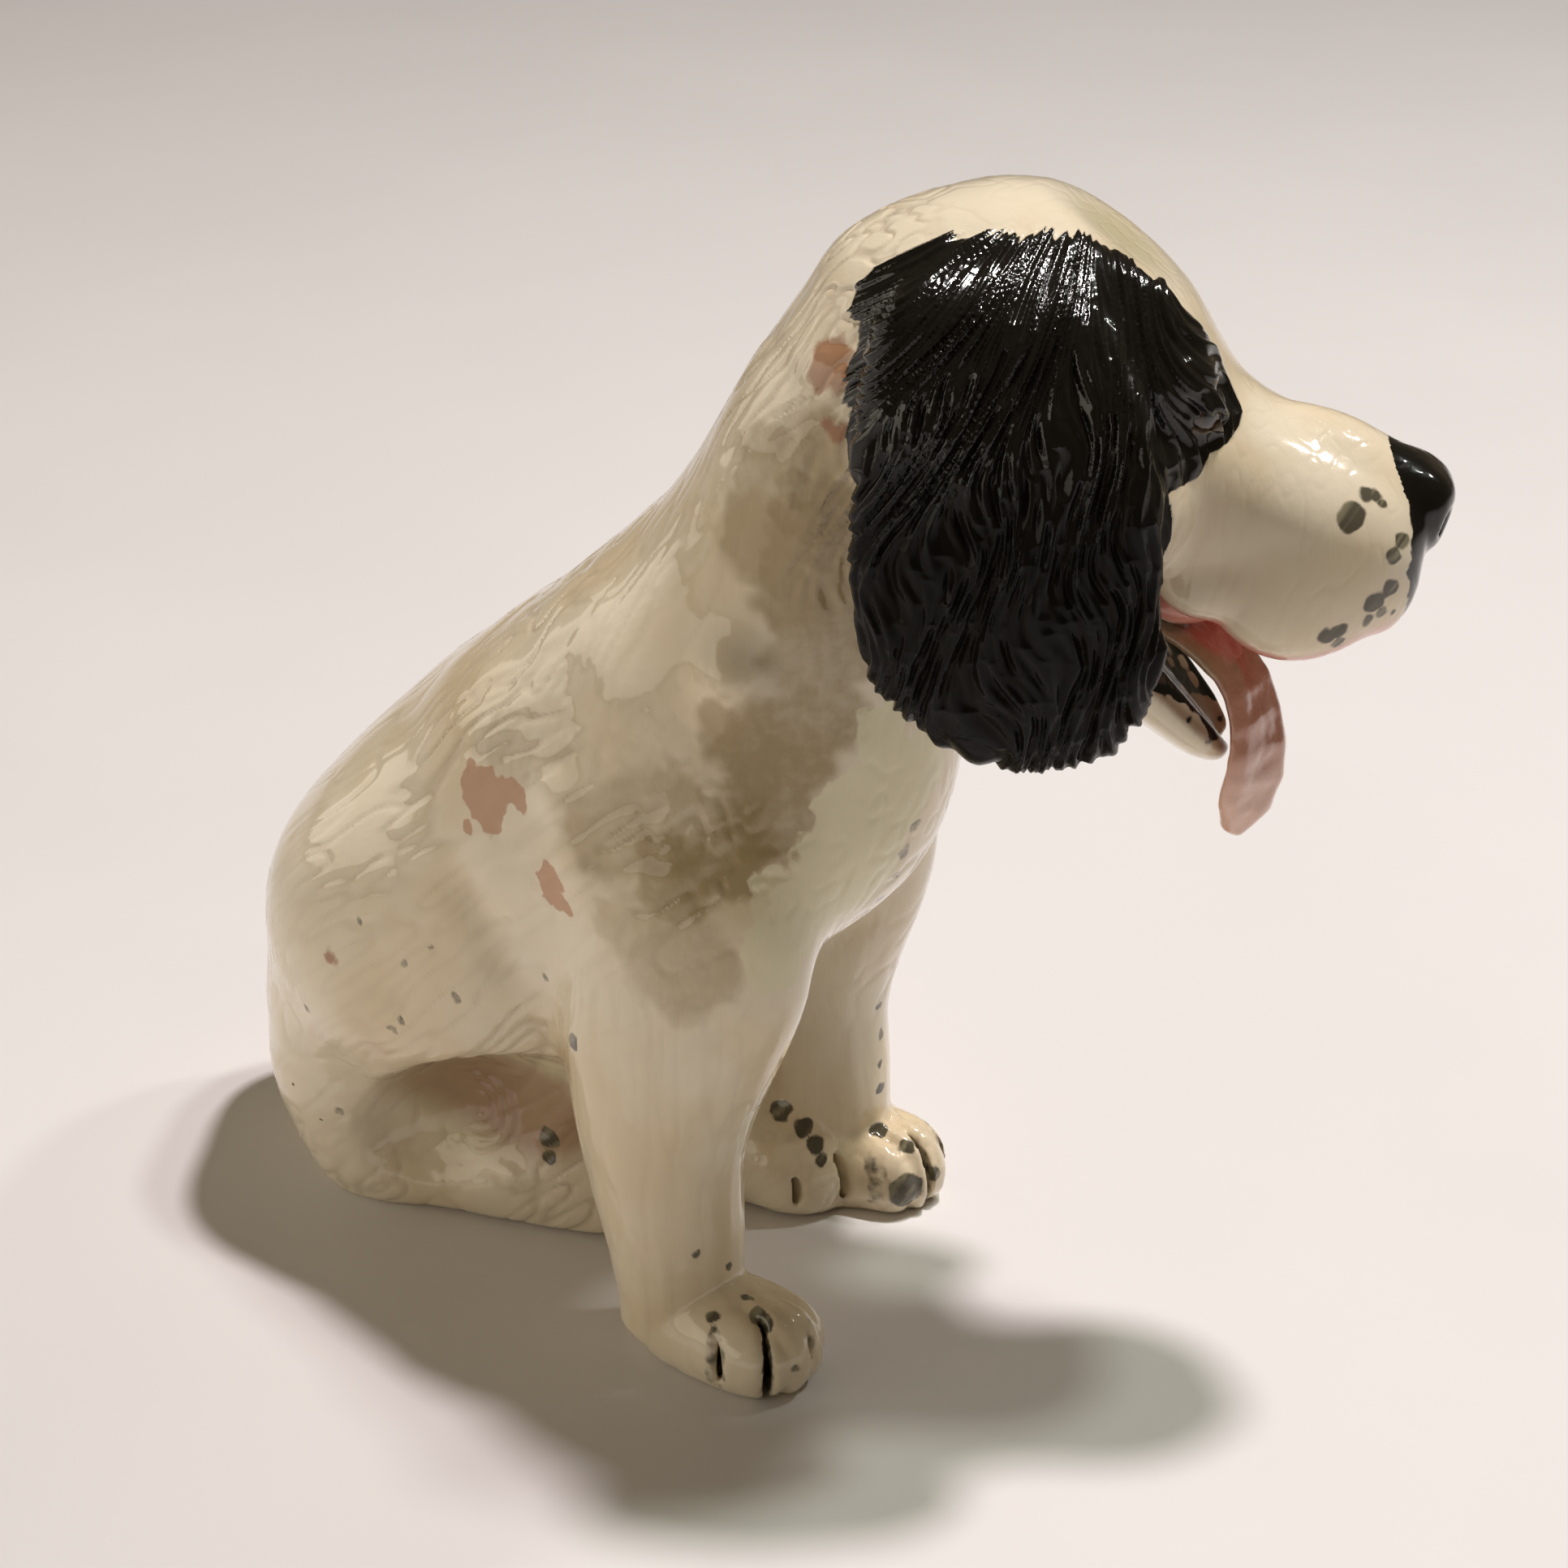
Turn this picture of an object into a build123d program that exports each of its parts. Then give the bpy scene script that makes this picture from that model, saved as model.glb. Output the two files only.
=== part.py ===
from build123d import *
import math
import os

os.makedirs("parts", exist_ok=True)

# Seated spaniel ornament in glazed earthenware, millimetres.
# Modelled with X the way the dog sits, Y to its left, Z up and the floor at Z = 0; while the
# pieces are shaped the zero of X and Y lies on the floor between the forepaws.

# Body, from the flat seat up to the neck: height, rear, front and half width of each level
TORSO_LEVELS = [
    (0.0, -61.0, -24.0, 7.5),
    (4.0, -65.0, -22.0, 9.5),
    (12.0, -66.8, -20.0, 11.5),
    (22.0, -66.6, -16.0, 14.5),
    (32.0, -62.4, -8.0, 17.0),
    (42.0, -54.6, 3.0, 18.4),
    (52.0, -45.0, 6.6, 18.0),
    (61.0, -34.2, 7.2, 16.4),
    (70.0, -23.4, 7.4, 14.6),
    (79.0, -15.4, 8.6, 13.4),
    (87.0, -10.6, 11.0, 12.2),
    (91.5, -7.4, 12.0, 10.4),
    (95.0, -0.5, 9.0, 5.0),
]
VENT_HOLE_DIAMETER = 6.0
VENT_HOLE_DEPTH = 14.0
VENT_HOLE_X = -48.0

# Forelegs: height, distance behind the toe tip, half length and half width of each level
FORELEG_LEVELS = [
    (2.0, 14.2, 5.4, 5.0),
    (10.0, 14.8, 6.2, 5.6),
    (20.0, 16.6, 8.2, 6.6),
    (30.0, 15.6, 10.8, 7.6),
    (40.0, 14.4, 12.2, 8.0),
    (49.0, 15.0, 11.6, 7.4),
    (56.0, 16.4, 8.8, 5.6),
    (60.5, 17.4, 4.4, 2.8),
]
FORELEG_LEAN_IN = 0.06
RIGHT_TOE = (4.2, -14.8)
RIGHT_LEG_FORWARD = 0.0
LEFT_TOE = (-1.8, 15.6)
LEFT_LEG_FORWARD = 2.4
PAW_LENGTH = 18.0
PAW_HALF_WIDTH = 5.4
PAW_HEIGHT = 8.0
PAW_SLICES = [(0.0, 0.6), (0.25, 0.92), (0.6, 1.0), (0.82, 0.9), (0.94, 0.62), (1.0, 0.26)]
TOE_GROOVE_WIDTH = 0.8
TOE_GROOVE_DEPTH = 1.0
TOE_GROOVE_LENGTH = 7.0
TOE_GROOVE_HEIGHT = 24.0
TOE_GROOVE_SPREAD = 2.5
TOE_GROOVE_FAN = 7.0
WIDEST_SHARE = 0.38

# Haunches: distance out from the middle, half length and half height of each slice
HAUNCH_SLICES = [
    (4.0, 19.0, 16.6),
    (10.0, 19.0, 16.4),
    (14.6, 17.2, 14.6),
    (17.8, 13.2, 11.0),
    (19.4, 8.2, 6.8),
    (20.0, 3.2, 2.6),
]
HAUNCH_CENTRE_X = -39.8
HAUNCH_CENTRE_Z = 29.0
HAUNCH_RISE = 18.0

# Hind feet: share of the length, half width and height of each slice from heel to toe
HIND_FOOT_SLICES = [
    (0.00, 1.8, 5.0),
    (0.06, 3.8, 8.5),
    (0.22, 5.2, 10.8),
    (0.50, 5.6, 11.6),
    (0.75, 5.4, 10.8),
    (0.92, 4.4, 8.6),
    (1.00, 2.2, 5.4),
]
RIGHT_HEEL = (-53.0, -9.8)
RIGHT_HIND_TOE = (-22.0, -1.2)
RIGHT_HIND_RISE = 0.74
LEFT_HEEL = (-43.0, 11.0)
LEFT_HIND_TOE = (-9.0, 9.4)
LEFT_HIND_RISE = 1.0

# Tail, a short curl lying round the left hip
TAIL_PATH = [(-59.0, 5.0, 5.0), (-59.5, 14.0, 4.6), (-52.0, 19.5, 4.0), (-43.0, 20.0, 3.6)]
TAIL_ROOT_RADIUS = 3.8
TAIL_TIP_RADIUS = 0.9
TAIL_STATIONS = 9

# Head: forward of the skull centre, centre height, upward, downward and sideways half sizes
HEAD_PLACE = (4.5, 1.0, 86.5)
HEAD_TURN = 29.0
HEAD_SLICES = [
    (-10.2, 2.5, 4.5, 5.0, 4.5),
    (-8.6, 2.5, 8.7, 9.0, 8.6),
    (-4.0, 2.5, 12.2, 13.0, 12.0),
    (4.6, 2.0, 15.4, 15.5, 14.4),
    (12.0, 1.0, 15.4, 15.2, 13.8),
    (17.4, -0.8, 13.4, 14.2, 11.8),
    (21.2, -3.4, 10.6, 14.2, 9.8),
    (24.0, -5.8, 8.3, 13.8, 8.8),
    (28.0, -7.6, 7.4, 14.4, 8.8),
    (32.4, -9.2, 7.2, 11.8, 8.6),
    (36.0, -10.2, 6.4, 8.8, 7.4),
    (38.6, -11.0, 4.8, 5.8, 5.0),
]
MOUTH_SLICES = [
    (11.0, -11.5, 1.0, 4.8),
    (18.0, -12.2, 1.6, 5.2),
    (25.0, -14.6, 2.4, 5.2),
    (31.0, -16.2, 2.4, 4.8),
    (35.0, -17.4, 1.4, 3.2),
]
MOUTH_DROP = 12.0

# Lower jaw: along the jaw from the hinge, upward, downward and sideways half sizes
JAW_HINGE = (10.0, -14.4)
JAW_DROP = 46.0
JAW_SLICES = [
    (0.0, 3.4, 5.2, 8.0),
    (8.0, 3.2, 4.2, 7.4),
    (14.5, 2.6, 3.2, 6.2),
    (18.6, 2.0, 2.5, 4.9),
    (20.8, 1.2, 1.5, 2.8),
]
JAW_LIP_WIDTH = 1.5
JAW_FLOOR_DEPTH = 1.6

# Tongue, a thin ribbon lying along the jaw and curling down over its front edge
TONGUE_PATH = [
    (12.0, 1.2, -13.6),
    (19.0, 1.2, -18.2),
    (25.0, 0.0, -22.4),
    (27.0, -1.6, -28.0),
    (25.2, -2.4, -36.0),
]
TONGUE_HALF_WIDTH = 3.9
TONGUE_THICKNESS = 1.6
TONGUE_TIP_HALF_WIDTH = 1.0
TONGUE_TIP_START = 0.7
TONGUE_TWIST = 64.0
TONGUE_STATIONS = 13

# Ears: height, forward, outward, half length and half thickness of each level
EAR_LEVELS = [
    (12.6, 3.6, 10.0, 4.4, 1.6),
    (10.6, 4.2, 12.0, 7.8, 2.6),
    (5.0, 5.4, 14.4, 10.8, 3.0),
    (-2.0, 6.2, 15.8, 11.8, 3.2),
    (-10.0, 6.8, 16.2, 12.0, 3.4),
    (-17.0, 7.6, 16.0, 11.2, 3.2),
    (-22.0, 8.8, 15.6, 8.0, 2.6),
    (-24.4, 9.8, 15.4, 4.0, 1.5),
]
EAR_TOE_IN = 4.0

# Nose pad and eyes: forward, centre height, half height and half width of each slice
NOSE_SLICES = [
    (36.0, -7.8, 4.4, 4.4),
    (38.4, -7.7, 4.4, 4.4),
    (40.1, -7.2, 3.5, 3.6),
    (41.0, -6.8, 1.7, 1.9),
]
NOSTRIL_RADIUS = 0.9
NOSTRIL_PLACE = (40.4, 2.0, -8.2)
EYE_RADIUS = 1.8
EYE_PLACE = (20.4, 7.5, 2.1)
EYE_LOOK_OUT = 58.0

# Block that trims a foot or the tail level with the floor
FLOOR_BLOCK_SIDE = 300.0
FLOOR_BLOCK_DEPTH = 60.0

# Flats round each kind of piece, and rows shaped between two given ones
BODY_SIDES = 30
LIMB_SIDES = 18
SMALL_SIDES = 12
ROWS_BETWEEN = 2
BALL_ROWS = 7
FORWARD = (1, 0, 0)


# Extra rows between the given ones, on a smooth curve through them all
def smooth(rows, steps=ROWS_BETWEEN):
    result = []
    for index in range(len(rows) - 1):
        before = rows[max(index - 1, 0)]
        after = rows[min(index + 2, len(rows) - 1)]
        for step in range(steps):
            t = step / steps
            row = []
            for a, b, c, d in zip(before, rows[index], rows[index + 1], after):
                slope_in, slope_out = (c - a) / 2, (d - b) / 2
                rise = 3 * (c - b) - 2 * slope_in - slope_out
                curl = 2 * (b - c) + slope_in + slope_out
                row.append(b + slope_in * t + rise * t ** 2 + curl * t ** 3)
            result.append(row)
    return result + [rows[-1]]


# Oval of straight sides whose directions never change, so that stacked rings join in flat facets
def ring(plane, half_across, half_above, half_below, sides):
    def reach(angle):
        rise = half_above if math.sin(angle) > 0 else half_below
        return math.hypot(half_across * math.cos(angle), rise * math.sin(angle))

    turn = 2 * math.pi / sides
    corners = []
    for side in range(sides):
        a, b = side * turn, (side + 1) * turn
        x = (reach(a) * math.sin(b) - reach(b) * math.sin(a)) / math.sin(turn)
        y = (reach(b) * math.cos(a) - reach(a) * math.cos(b)) / math.sin(turn)
        corners.append(plane.from_local_coords(Vector(x, y, 0)))
    return corners


def level_ring(x, y, z, half_x, half_y, sides, turn=0.0):
    heading = (math.cos(math.radians(turn)), math.sin(math.radians(turn)), 0)
    return ring(Plane(origin=(x, y, z), x_dir=heading), half_x, half_y, half_y, sides)


def upright_ring(place, heading, half_across, half_above, half_below, sides):
    across = (-heading[1], heading[0], 0)
    plane = Plane(origin=place, x_dir=across, z_dir=heading)
    return ring(plane, half_across, half_above, half_below, sides)


# Closed solid through a stack of rings; facets that can't lie flat are split in two
def stack(rings, split=False):
    faces = [Face(Wire.make_polygon(rings[0])), Face(Wire.make_polygon(rings[-1]))]
    for low, high in zip(rings, rings[1:]):
        for side in range(len(low)):
            near = (side + 1) % len(low)
            if split:
                faces.append(Face(Wire.make_polygon([low[side], low[near], high[near]])))
                faces.append(Face(Wire.make_polygon([low[side], high[near], high[side]])))
            else:
                faces.append(Face(Wire.make_polygon([low[side], low[near], high[near], high[side]])))
    return Solid(Shell(faces))


def above_floor(solid):
    below = (Align.CENTER, Align.CENTER, Align.MAX)
    return solid - Box(FLOOR_BLOCK_SIDE, FLOOR_BLOCK_SIDE, FLOOR_BLOCK_DEPTH, align=below)


def one_body(shape):
    return max(shape.solids(), key=lambda solid: solid.volume)


def ball(radius):
    rings = []
    for step in range(1, BALL_ROWS):
        tilt = math.pi * (step / BALL_ROWS - 0.5)
        size = radius * math.cos(tilt)
        place = (radius * math.sin(tilt), 0, 0)
        rings.append(upright_ring(place, FORWARD, size, size, size, SMALL_SIDES))
    return stack(rings)


# Grooves of even depth that part the toes; the core is the same foot less that depth
def part_toes(foot, core, toe, heading):
    blade = Box(2 * TOE_GROOVE_LENGTH, TOE_GROOVE_WIDTH, TOE_GROOVE_HEIGHT)
    for place in (-1, 0, 1):
        slot = Pos(toe[0], toe[1], 0) * Rot(0, 0, heading) * Pos(0, place * TOE_GROOVE_SPREAD, 0)
        slot *= Rot(0, 0, place * TOE_GROOVE_FAN)
        foot -= slot * blade - core
    return above_floor(foot)


# Hind feet lie flat on the floor, heel under the rump
def hind_foot_form(heel, toe, rise, inset):
    run = (toe[0] - heel[0], toe[1] - heel[1], 0)
    rings = []
    for share, half_width, full_height in smooth(HIND_FOOT_SLICES):
        height = full_height * rise
        widest = height * WIDEST_SHARE
        place = (heel[0] + share * run[0], heel[1] + share * run[1], widest)
        half_height = height - widest - inset
        rings.append(upright_ring(place, run, half_width - inset, half_height, half_height, LIMB_SIDES))
    return stack(rings)


def hind_foot(heel, toe, rise):
    heading = math.degrees(math.atan2(toe[1] - heel[1], toe[0] - heel[0]))
    core = hind_foot_form(heel, toe, rise, TOE_GROOVE_DEPTH)
    return one_body(part_toes(hind_foot_form(heel, toe, rise, 0.0), core, toe, heading))


right_hind_foot = hind_foot(RIGHT_HEEL, RIGHT_HIND_TOE, RIGHT_HIND_RISE)
left_hind_foot = hind_foot(LEFT_HEEL, LEFT_HIND_TOE, LEFT_HIND_RISE)

# Torso with neck, seated on a flat base that keeps the vent hole of the casting
torso = stack([
    level_ring((rear + front) / 2, 0, z, (front - rear) / 2, half_width, BODY_SIDES)
    for z, rear, front, half_width in smooth(TORSO_LEVELS)
])
torso -= Pos(VENT_HOLE_X, 0, 0) * Cylinder(
    VENT_HOLE_DIAMETER / 2, VENT_HOLE_DEPTH, align=(Align.CENTER, Align.CENTER, Align.MIN)
)
torso = one_body(torso - right_hind_foot - left_hind_foot)


# Forelegs: a tapering leg run into a paw
def paw(toe, inset):
    widest = PAW_HEIGHT * WIDEST_SHARE
    rings = []
    for share, size in smooth(PAW_SLICES):
        place = (toe[0] - PAW_LENGTH * (1 - share), toe[1], widest)
        half_height = (PAW_HEIGHT - widest) * size - inset
        half_width = PAW_HALF_WIDTH * size - inset
        rings.append(upright_ring(place, FORWARD, half_width, half_height, half_height, LIMB_SIDES))
    return stack(rings)


def foreleg(toe, forward, side):
    rings = []
    for z, behind, half_length, half_width in smooth(FORELEG_LEVELS):
        place = (toe[0] - behind + forward, toe[1] - side * FORELEG_LEAN_IN * z, z)
        rings.append(level_ring(*place, half_length, half_width, LIMB_SIDES))
    leg = stack(rings)
    return part_toes(leg + paw(toe, 0.0), leg + paw(toe, TOE_GROOVE_DEPTH), toe, 0.0)


right_foreleg = one_body(foreleg(RIGHT_TOE, RIGHT_LEG_FORWARD, -1) - torso - right_hind_foot)
left_foreleg = one_body(foreleg(LEFT_TOE, LEFT_LEG_FORWARD, 1) - torso - left_hind_foot)


# Haunches: rounded thigh pads laid against the flanks
def haunch(side):
    rise = math.radians(HAUNCH_RISE)
    rings = []
    for out, half_length, half_height in smooth(HAUNCH_SLICES):
        middle = Plane(
            origin=(HAUNCH_CENTRE_X, side * out, HAUNCH_CENTRE_Z),
            x_dir=(math.cos(rise), 0, math.sin(rise)),
            z_dir=(0, -1, 0),
        )
        rings.append(ring(middle, half_length, half_height, half_height, LIMB_SIDES))
    return stack(rings)


right_haunch = one_body(haunch(-1) - torso - right_hind_foot - right_foreleg)
left_haunch = one_body(haunch(1) - torso - left_hind_foot - left_foreleg)

# Tail
tail_line = Spline(*TAIL_PATH)
tail_rings = []
for step in range(TAIL_STATIONS):
    share = step / (TAIL_STATIONS - 1)
    radius = TAIL_ROOT_RADIUS + (TAIL_TIP_RADIUS - TAIL_ROOT_RADIUS) * share
    heading = tail_line % share
    tail_rings.append(
        upright_ring(tail_line @ share, tuple(heading), radius, radius, radius, SMALL_SIDES)
    )
tail = one_body(above_floor(stack(tail_rings, split=True)) - torso - left_haunch - left_hind_foot)

# Head, shaped about the skull centre and then turned toward the dog's left
head_place = Pos(*HEAD_PLACE) * Rot(0, 0, HEAD_TURN)
head_shape = stack([
    upright_ring((x, 0, z), FORWARD, half_width, above, below, BODY_SIDES)
    for x, z, above, below, half_width in smooth(HEAD_SLICES)
])
head_shape -= stack([
    upright_ring((x, 0, z), FORWARD, half_width, above, MOUTH_DROP, LIMB_SIDES)
    for x, z, above, half_width in smooth(MOUTH_SLICES)
])
eyes = {}
for name, side in (("right_eye", -1), ("left_eye", 1)):
    eye = Rot(0, 0, side * EYE_LOOK_OUT) * ball(EYE_RADIUS)
    eye = Pos(EYE_PLACE[0], side * EYE_PLACE[1], EYE_PLACE[2]) * eye
    head_shape -= eye
    eyes[name] = head_place * eye
head = one_body(head_place * head_shape - torso)

# Lower jaw, dropped open in a pant, with a shallow trough between its lips
jaw_place = head_place * Pos(JAW_HINGE[0], 0, JAW_HINGE[1]) * Rot(0, JAW_DROP, 0)
jaw_shape = stack([
    upright_ring((along, 0, 0), FORWARD, half_width, above, below, LIMB_SIDES)
    for along, above, below, half_width in smooth(JAW_SLICES)
])
trough_rings = []
for along, above, below, half_width in smooth(JAW_SLICES):
    inner = half_width - JAW_LIP_WIDTH
    trough_rings.append(upright_ring((along, 0, above), FORWARD, inner, above, JAW_FLOOR_DEPTH, LIMB_SIDES))
jaw_shape -= stack(trough_rings)
lower_jaw = one_body(jaw_place * jaw_shape - head - torso)

# Tongue
tongue_line = Spline(*TONGUE_PATH)
tongue_rings = []
for step in range(TONGUE_STATIONS):
    share = step / (TONGUE_STATIONS - 1)
    heading = tongue_line % share
    across = Vector(0, 1, 0).rotate(Axis((0, 0, 0), heading), TONGUE_TWIST * share ** 2)
    past_shoulder = max(0.0, (share - TONGUE_TIP_START) / (1.0 - TONGUE_TIP_START))
    fullness = math.sqrt(1 - past_shoulder ** 2)
    half_width = TONGUE_TIP_HALF_WIDTH + (TONGUE_HALF_WIDTH - TONGUE_TIP_HALF_WIDTH) * fullness
    half_thick = TONGUE_THICKNESS / 2
    plane = Plane(origin=tongue_line @ share, x_dir=across, z_dir=heading)
    tongue_rings.append(ring(plane, half_width, half_thick, half_thick, SMALL_SIDES))
tongue = one_body(head_place * stack(tongue_rings, split=True) - head - lower_jaw - torso)


# Ears, long flaps hung from the sides of the skull
def ear(side):
    return stack([
        level_ring(x, side * out, z, half_length, half_thick, LIMB_SIDES, -side * EAR_TOE_IN)
        for z, x, out, half_length, half_thick in smooth(EAR_LEVELS)
    ])


right_ear = one_body(head_place * ear(-1) - head - torso - lower_jaw)
left_ear = one_body(head_place * ear(1) - head - torso - lower_jaw)

# Nose pad with its two nostrils
nose_shape = stack([
    upright_ring((x, 0, z), FORWARD, half_width, half_height, half_height, LIMB_SIDES)
    for x, z, half_height, half_width in smooth(NOSE_SLICES)
])
for side in (-1, 1):
    nostril = Pos(NOSTRIL_PLACE[0], side * NOSTRIL_PLACE[1], NOSTRIL_PLACE[2])
    nose_shape -= nostril * ball(NOSTRIL_RADIUS)
nose = one_body(head_place * nose_shape - head)

pieces = {
    "torso": torso,
    "right_foreleg": right_foreleg,
    "left_foreleg": left_foreleg,
    "right_haunch": right_haunch,
    "left_haunch": left_haunch,
    "right_hind_foot": right_hind_foot,
    "left_hind_foot": left_hind_foot,
    "tail": tail,
    "head": head,
    "lower_jaw": lower_jaw,
    "tongue": tongue,
    "right_ear": right_ear,
    "left_ear": left_ear,
    "nose": nose,
    "right_eye": eyes["right_eye"],
    "left_eye": eyes["left_eye"],
}

# The finished figure keeps its origin on the floor under the middle of its bounding box
boxes = [piece.bounding_box() for piece in pieces.values()]
middle_x = (min(box.min.X for box in boxes) + max(box.max.X for box in boxes)) / 2
middle_y = (min(box.min.Y for box in boxes) + max(box.max.Y for box in boxes)) / 2
for name, piece in pieces.items():
    export_step(Pos(-middle_x, -middle_y, 0) * piece, f"parts/{name}.step")
    print(name, len(piece.solids()), round(piece.volume, 1))
print("shift", -middle_x, -middle_y)
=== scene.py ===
import math
from itertools import product

import bpy
import numpy as np
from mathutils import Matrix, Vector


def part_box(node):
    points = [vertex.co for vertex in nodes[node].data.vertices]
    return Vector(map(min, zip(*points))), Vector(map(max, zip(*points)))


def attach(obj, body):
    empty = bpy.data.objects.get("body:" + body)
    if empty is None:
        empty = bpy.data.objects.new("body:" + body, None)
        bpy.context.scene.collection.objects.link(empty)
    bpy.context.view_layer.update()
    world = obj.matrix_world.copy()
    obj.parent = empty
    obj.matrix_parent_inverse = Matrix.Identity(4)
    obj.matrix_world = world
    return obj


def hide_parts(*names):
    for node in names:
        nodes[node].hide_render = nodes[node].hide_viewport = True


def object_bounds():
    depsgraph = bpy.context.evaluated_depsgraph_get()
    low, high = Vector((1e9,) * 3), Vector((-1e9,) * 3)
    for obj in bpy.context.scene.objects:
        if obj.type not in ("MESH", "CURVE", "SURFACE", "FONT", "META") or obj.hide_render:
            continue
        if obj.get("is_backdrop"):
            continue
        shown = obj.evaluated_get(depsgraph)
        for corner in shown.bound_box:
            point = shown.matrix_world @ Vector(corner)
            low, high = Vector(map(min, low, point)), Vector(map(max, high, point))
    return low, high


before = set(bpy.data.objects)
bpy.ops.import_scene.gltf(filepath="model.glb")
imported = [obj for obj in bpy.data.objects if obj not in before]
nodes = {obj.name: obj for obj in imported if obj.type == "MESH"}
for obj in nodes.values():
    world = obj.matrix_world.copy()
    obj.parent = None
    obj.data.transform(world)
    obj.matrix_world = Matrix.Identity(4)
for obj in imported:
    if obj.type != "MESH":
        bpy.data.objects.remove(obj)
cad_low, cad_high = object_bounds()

import openvdb
from mathutils import Vector

# The modelled clay
# The dog is built up by hand in pale clay. Torso, legs, thighs, feet, tail, head, jaw, ears and nose
# are shaped apart, scored, luted together with slip, and the joints rubbed smooth while it is soft.
MM = 0.001
GRAIN = 0.33
REACH = 4.5
FINE_RUB = 0.5
FIRM_RUB = 1.0
SOFT_RUB = 2.0
PAW_TOP = 9.0
SHANK_TOP = 22.0
SAME = (0.0, 1.0)
SHOULDER = (25.0, 45.0)
EAR_ROOT = (86.0, 95.0)
# Two heights, the width of the luted joint at each of them, and how far the piece is rubbed
LUTED = {
    "torso": (SAME, (1.0, 1.0), SOFT_RUB),
    "right_haunch": (SAME, (4.0, 4.0), SOFT_RUB),
    "left_haunch": (SAME, (4.0, 4.0), SOFT_RUB),
    "right_foreleg": (SHOULDER, (0.8, 4.0), SOFT_RUB),
    "left_foreleg": (SHOULDER, (0.8, 4.0), SOFT_RUB),
    "right_hind_foot": (SAME, (5.0, 5.0), FIRM_RUB),
    "left_hind_foot": (SAME, (2.0, 2.0), FIRM_RUB),
    "tail": (SAME, (1.5, 1.5), FINE_RUB),
    "head": (SAME, (4.0, 4.0), FIRM_RUB),
    "lower_jaw": (SAME, (1.5, 1.5), FINE_RUB),
    "right_ear": (EAR_ROOT, (0.5, 3.0), FIRM_RUB),
    "left_ear": (EAR_ROOT, (0.5, 3.0), FIRM_RUB),
    "nose": (SAME, (0.5, 0.5), FINE_RUB),
}

lowest = np.array(cad_low) / MM - REACH
counts = np.ceil((np.array(cad_high) / MM + REACH - lowest) / GRAIN).astype(int) + 1


def skin(node):
    mesh = nodes[node].data
    mesh.calc_loop_triangles()
    points = np.empty(3 * len(mesh.vertices), np.float32)
    mesh.vertices.foreach_get("co", points)
    corners = np.empty(3 * len(mesh.loop_triangles), np.int32)
    mesh.loop_triangles.foreach_get("vertices", corners)
    return points.reshape(-1, 3) / MM, corners.reshape(-1, 3).astype(np.uint32)


# Distance to a piece's skin, negative inside the clay, on the part of the block round it
def pressed(node):
    points, triangles = skin(node)
    spots = ((points - lowest) / GRAIN).astype(np.float32)
    width = REACH / GRAIN
    shell = openvdb.FloatGrid.createLevelSetFromPolygons(
        spots, triangles=triangles, transform=openvdb.createLinearTransform(1.0), halfWidth=width
    )
    first = np.floor(spots.min(0) - width).astype(int).clip(0)
    last = np.minimum(np.ceil(spots.max(0) + width).astype(int) + 1, counts)
    field = np.empty(tuple(last - first), np.float32)
    shell.copyToArray(field, ijk=tuple(int(i) for i in first))
    return first, field * GRAIN


def block(first, shape):
    return tuple(slice(a, a + n) for a, n in zip(first, shape))


def axes(first, shape):
    lines = [lowest[i] + GRAIN * (first[i] + np.arange(shape[i])) for i in range(3)]
    return [line.astype(np.float32) for line in np.meshgrid(*lines, indexing="ij", sparse=True)]


def joined(one, other, joint):
    overlap = np.maximum(joint - np.abs(one - other), 0)
    return np.minimum(one, other) - overlap ** 2 / (4 * joint)


def carved(one, tool, joint):
    return -joined(-one, tool, joint)


# Share that goes from 0 to 1 in an easy curve
def ease(value, start, end):
    t = np.clip((value - start) / (end - start), 0, 1)
    return t * t * (3 - 2 * t)


# Clay rubbed with a damp sponge: each point takes the mean of its surroundings
def rubbed(field, reach):
    width = 2 * round((math.sqrt(6 * (reach / GRAIN) ** 2 + 1) - 1) / 2) + 1
    for axis in range(3):
        for _ in range(2):
            ends = [(0, 0)] * 3
            ends[axis] = (width // 2 + 1, width // 2)
            total = np.cumsum(np.pad(field, ends, mode="edge"), axis=axis, dtype=np.float32)
            late = [slice(None)] * 3
            early = [slice(None)] * 3
            late[axis] = slice(width, None)
            early[axis] = slice(None, -width)
            field = (total[tuple(late)] - total[tuple(early)]) / width
    return field


clay = np.full(counts, REACH, np.float32)
closest = {rub: np.full(counts, REACH, np.float32) for rub in (FINE_RUB, FIRM_RUB, SOFT_RUB)}
fields = {}
for node, (heights, joints, rub) in LUTED.items():
    first, field = pressed(node)
    fields[node] = first, field
    here = block(first, field.shape)
    x, y, z = axes(first, field.shape)
    clay[here] = joined(clay[here], field, np.interp(z, heights, joints).astype(np.float32))
    closest[rub][here] = np.minimum(closest[rub][here], field)

z = axes((0, 0, 0), counts)[2]
soft_share = ease(np.minimum(closest[FINE_RUB], closest[FIRM_RUB]) - closest[SOFT_RUB], -1.0, 3.0)
soft_share *= ease(z, PAW_TOP, SHANK_TOP)
firm_share = ease(np.minimum(closest[FINE_RUB], closest[SOFT_RUB]) - closest[FIRM_RUB], -1.5, 1.5)
soft_clay = rubbed(clay, SOFT_RUB)
clay = rubbed(clay, FINE_RUB) * (1 - firm_share) + rubbed(clay, FIRM_RUB) * firm_share
clay += (soft_clay - clay) * soft_share
del closest, soft_share, firm_share


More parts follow.
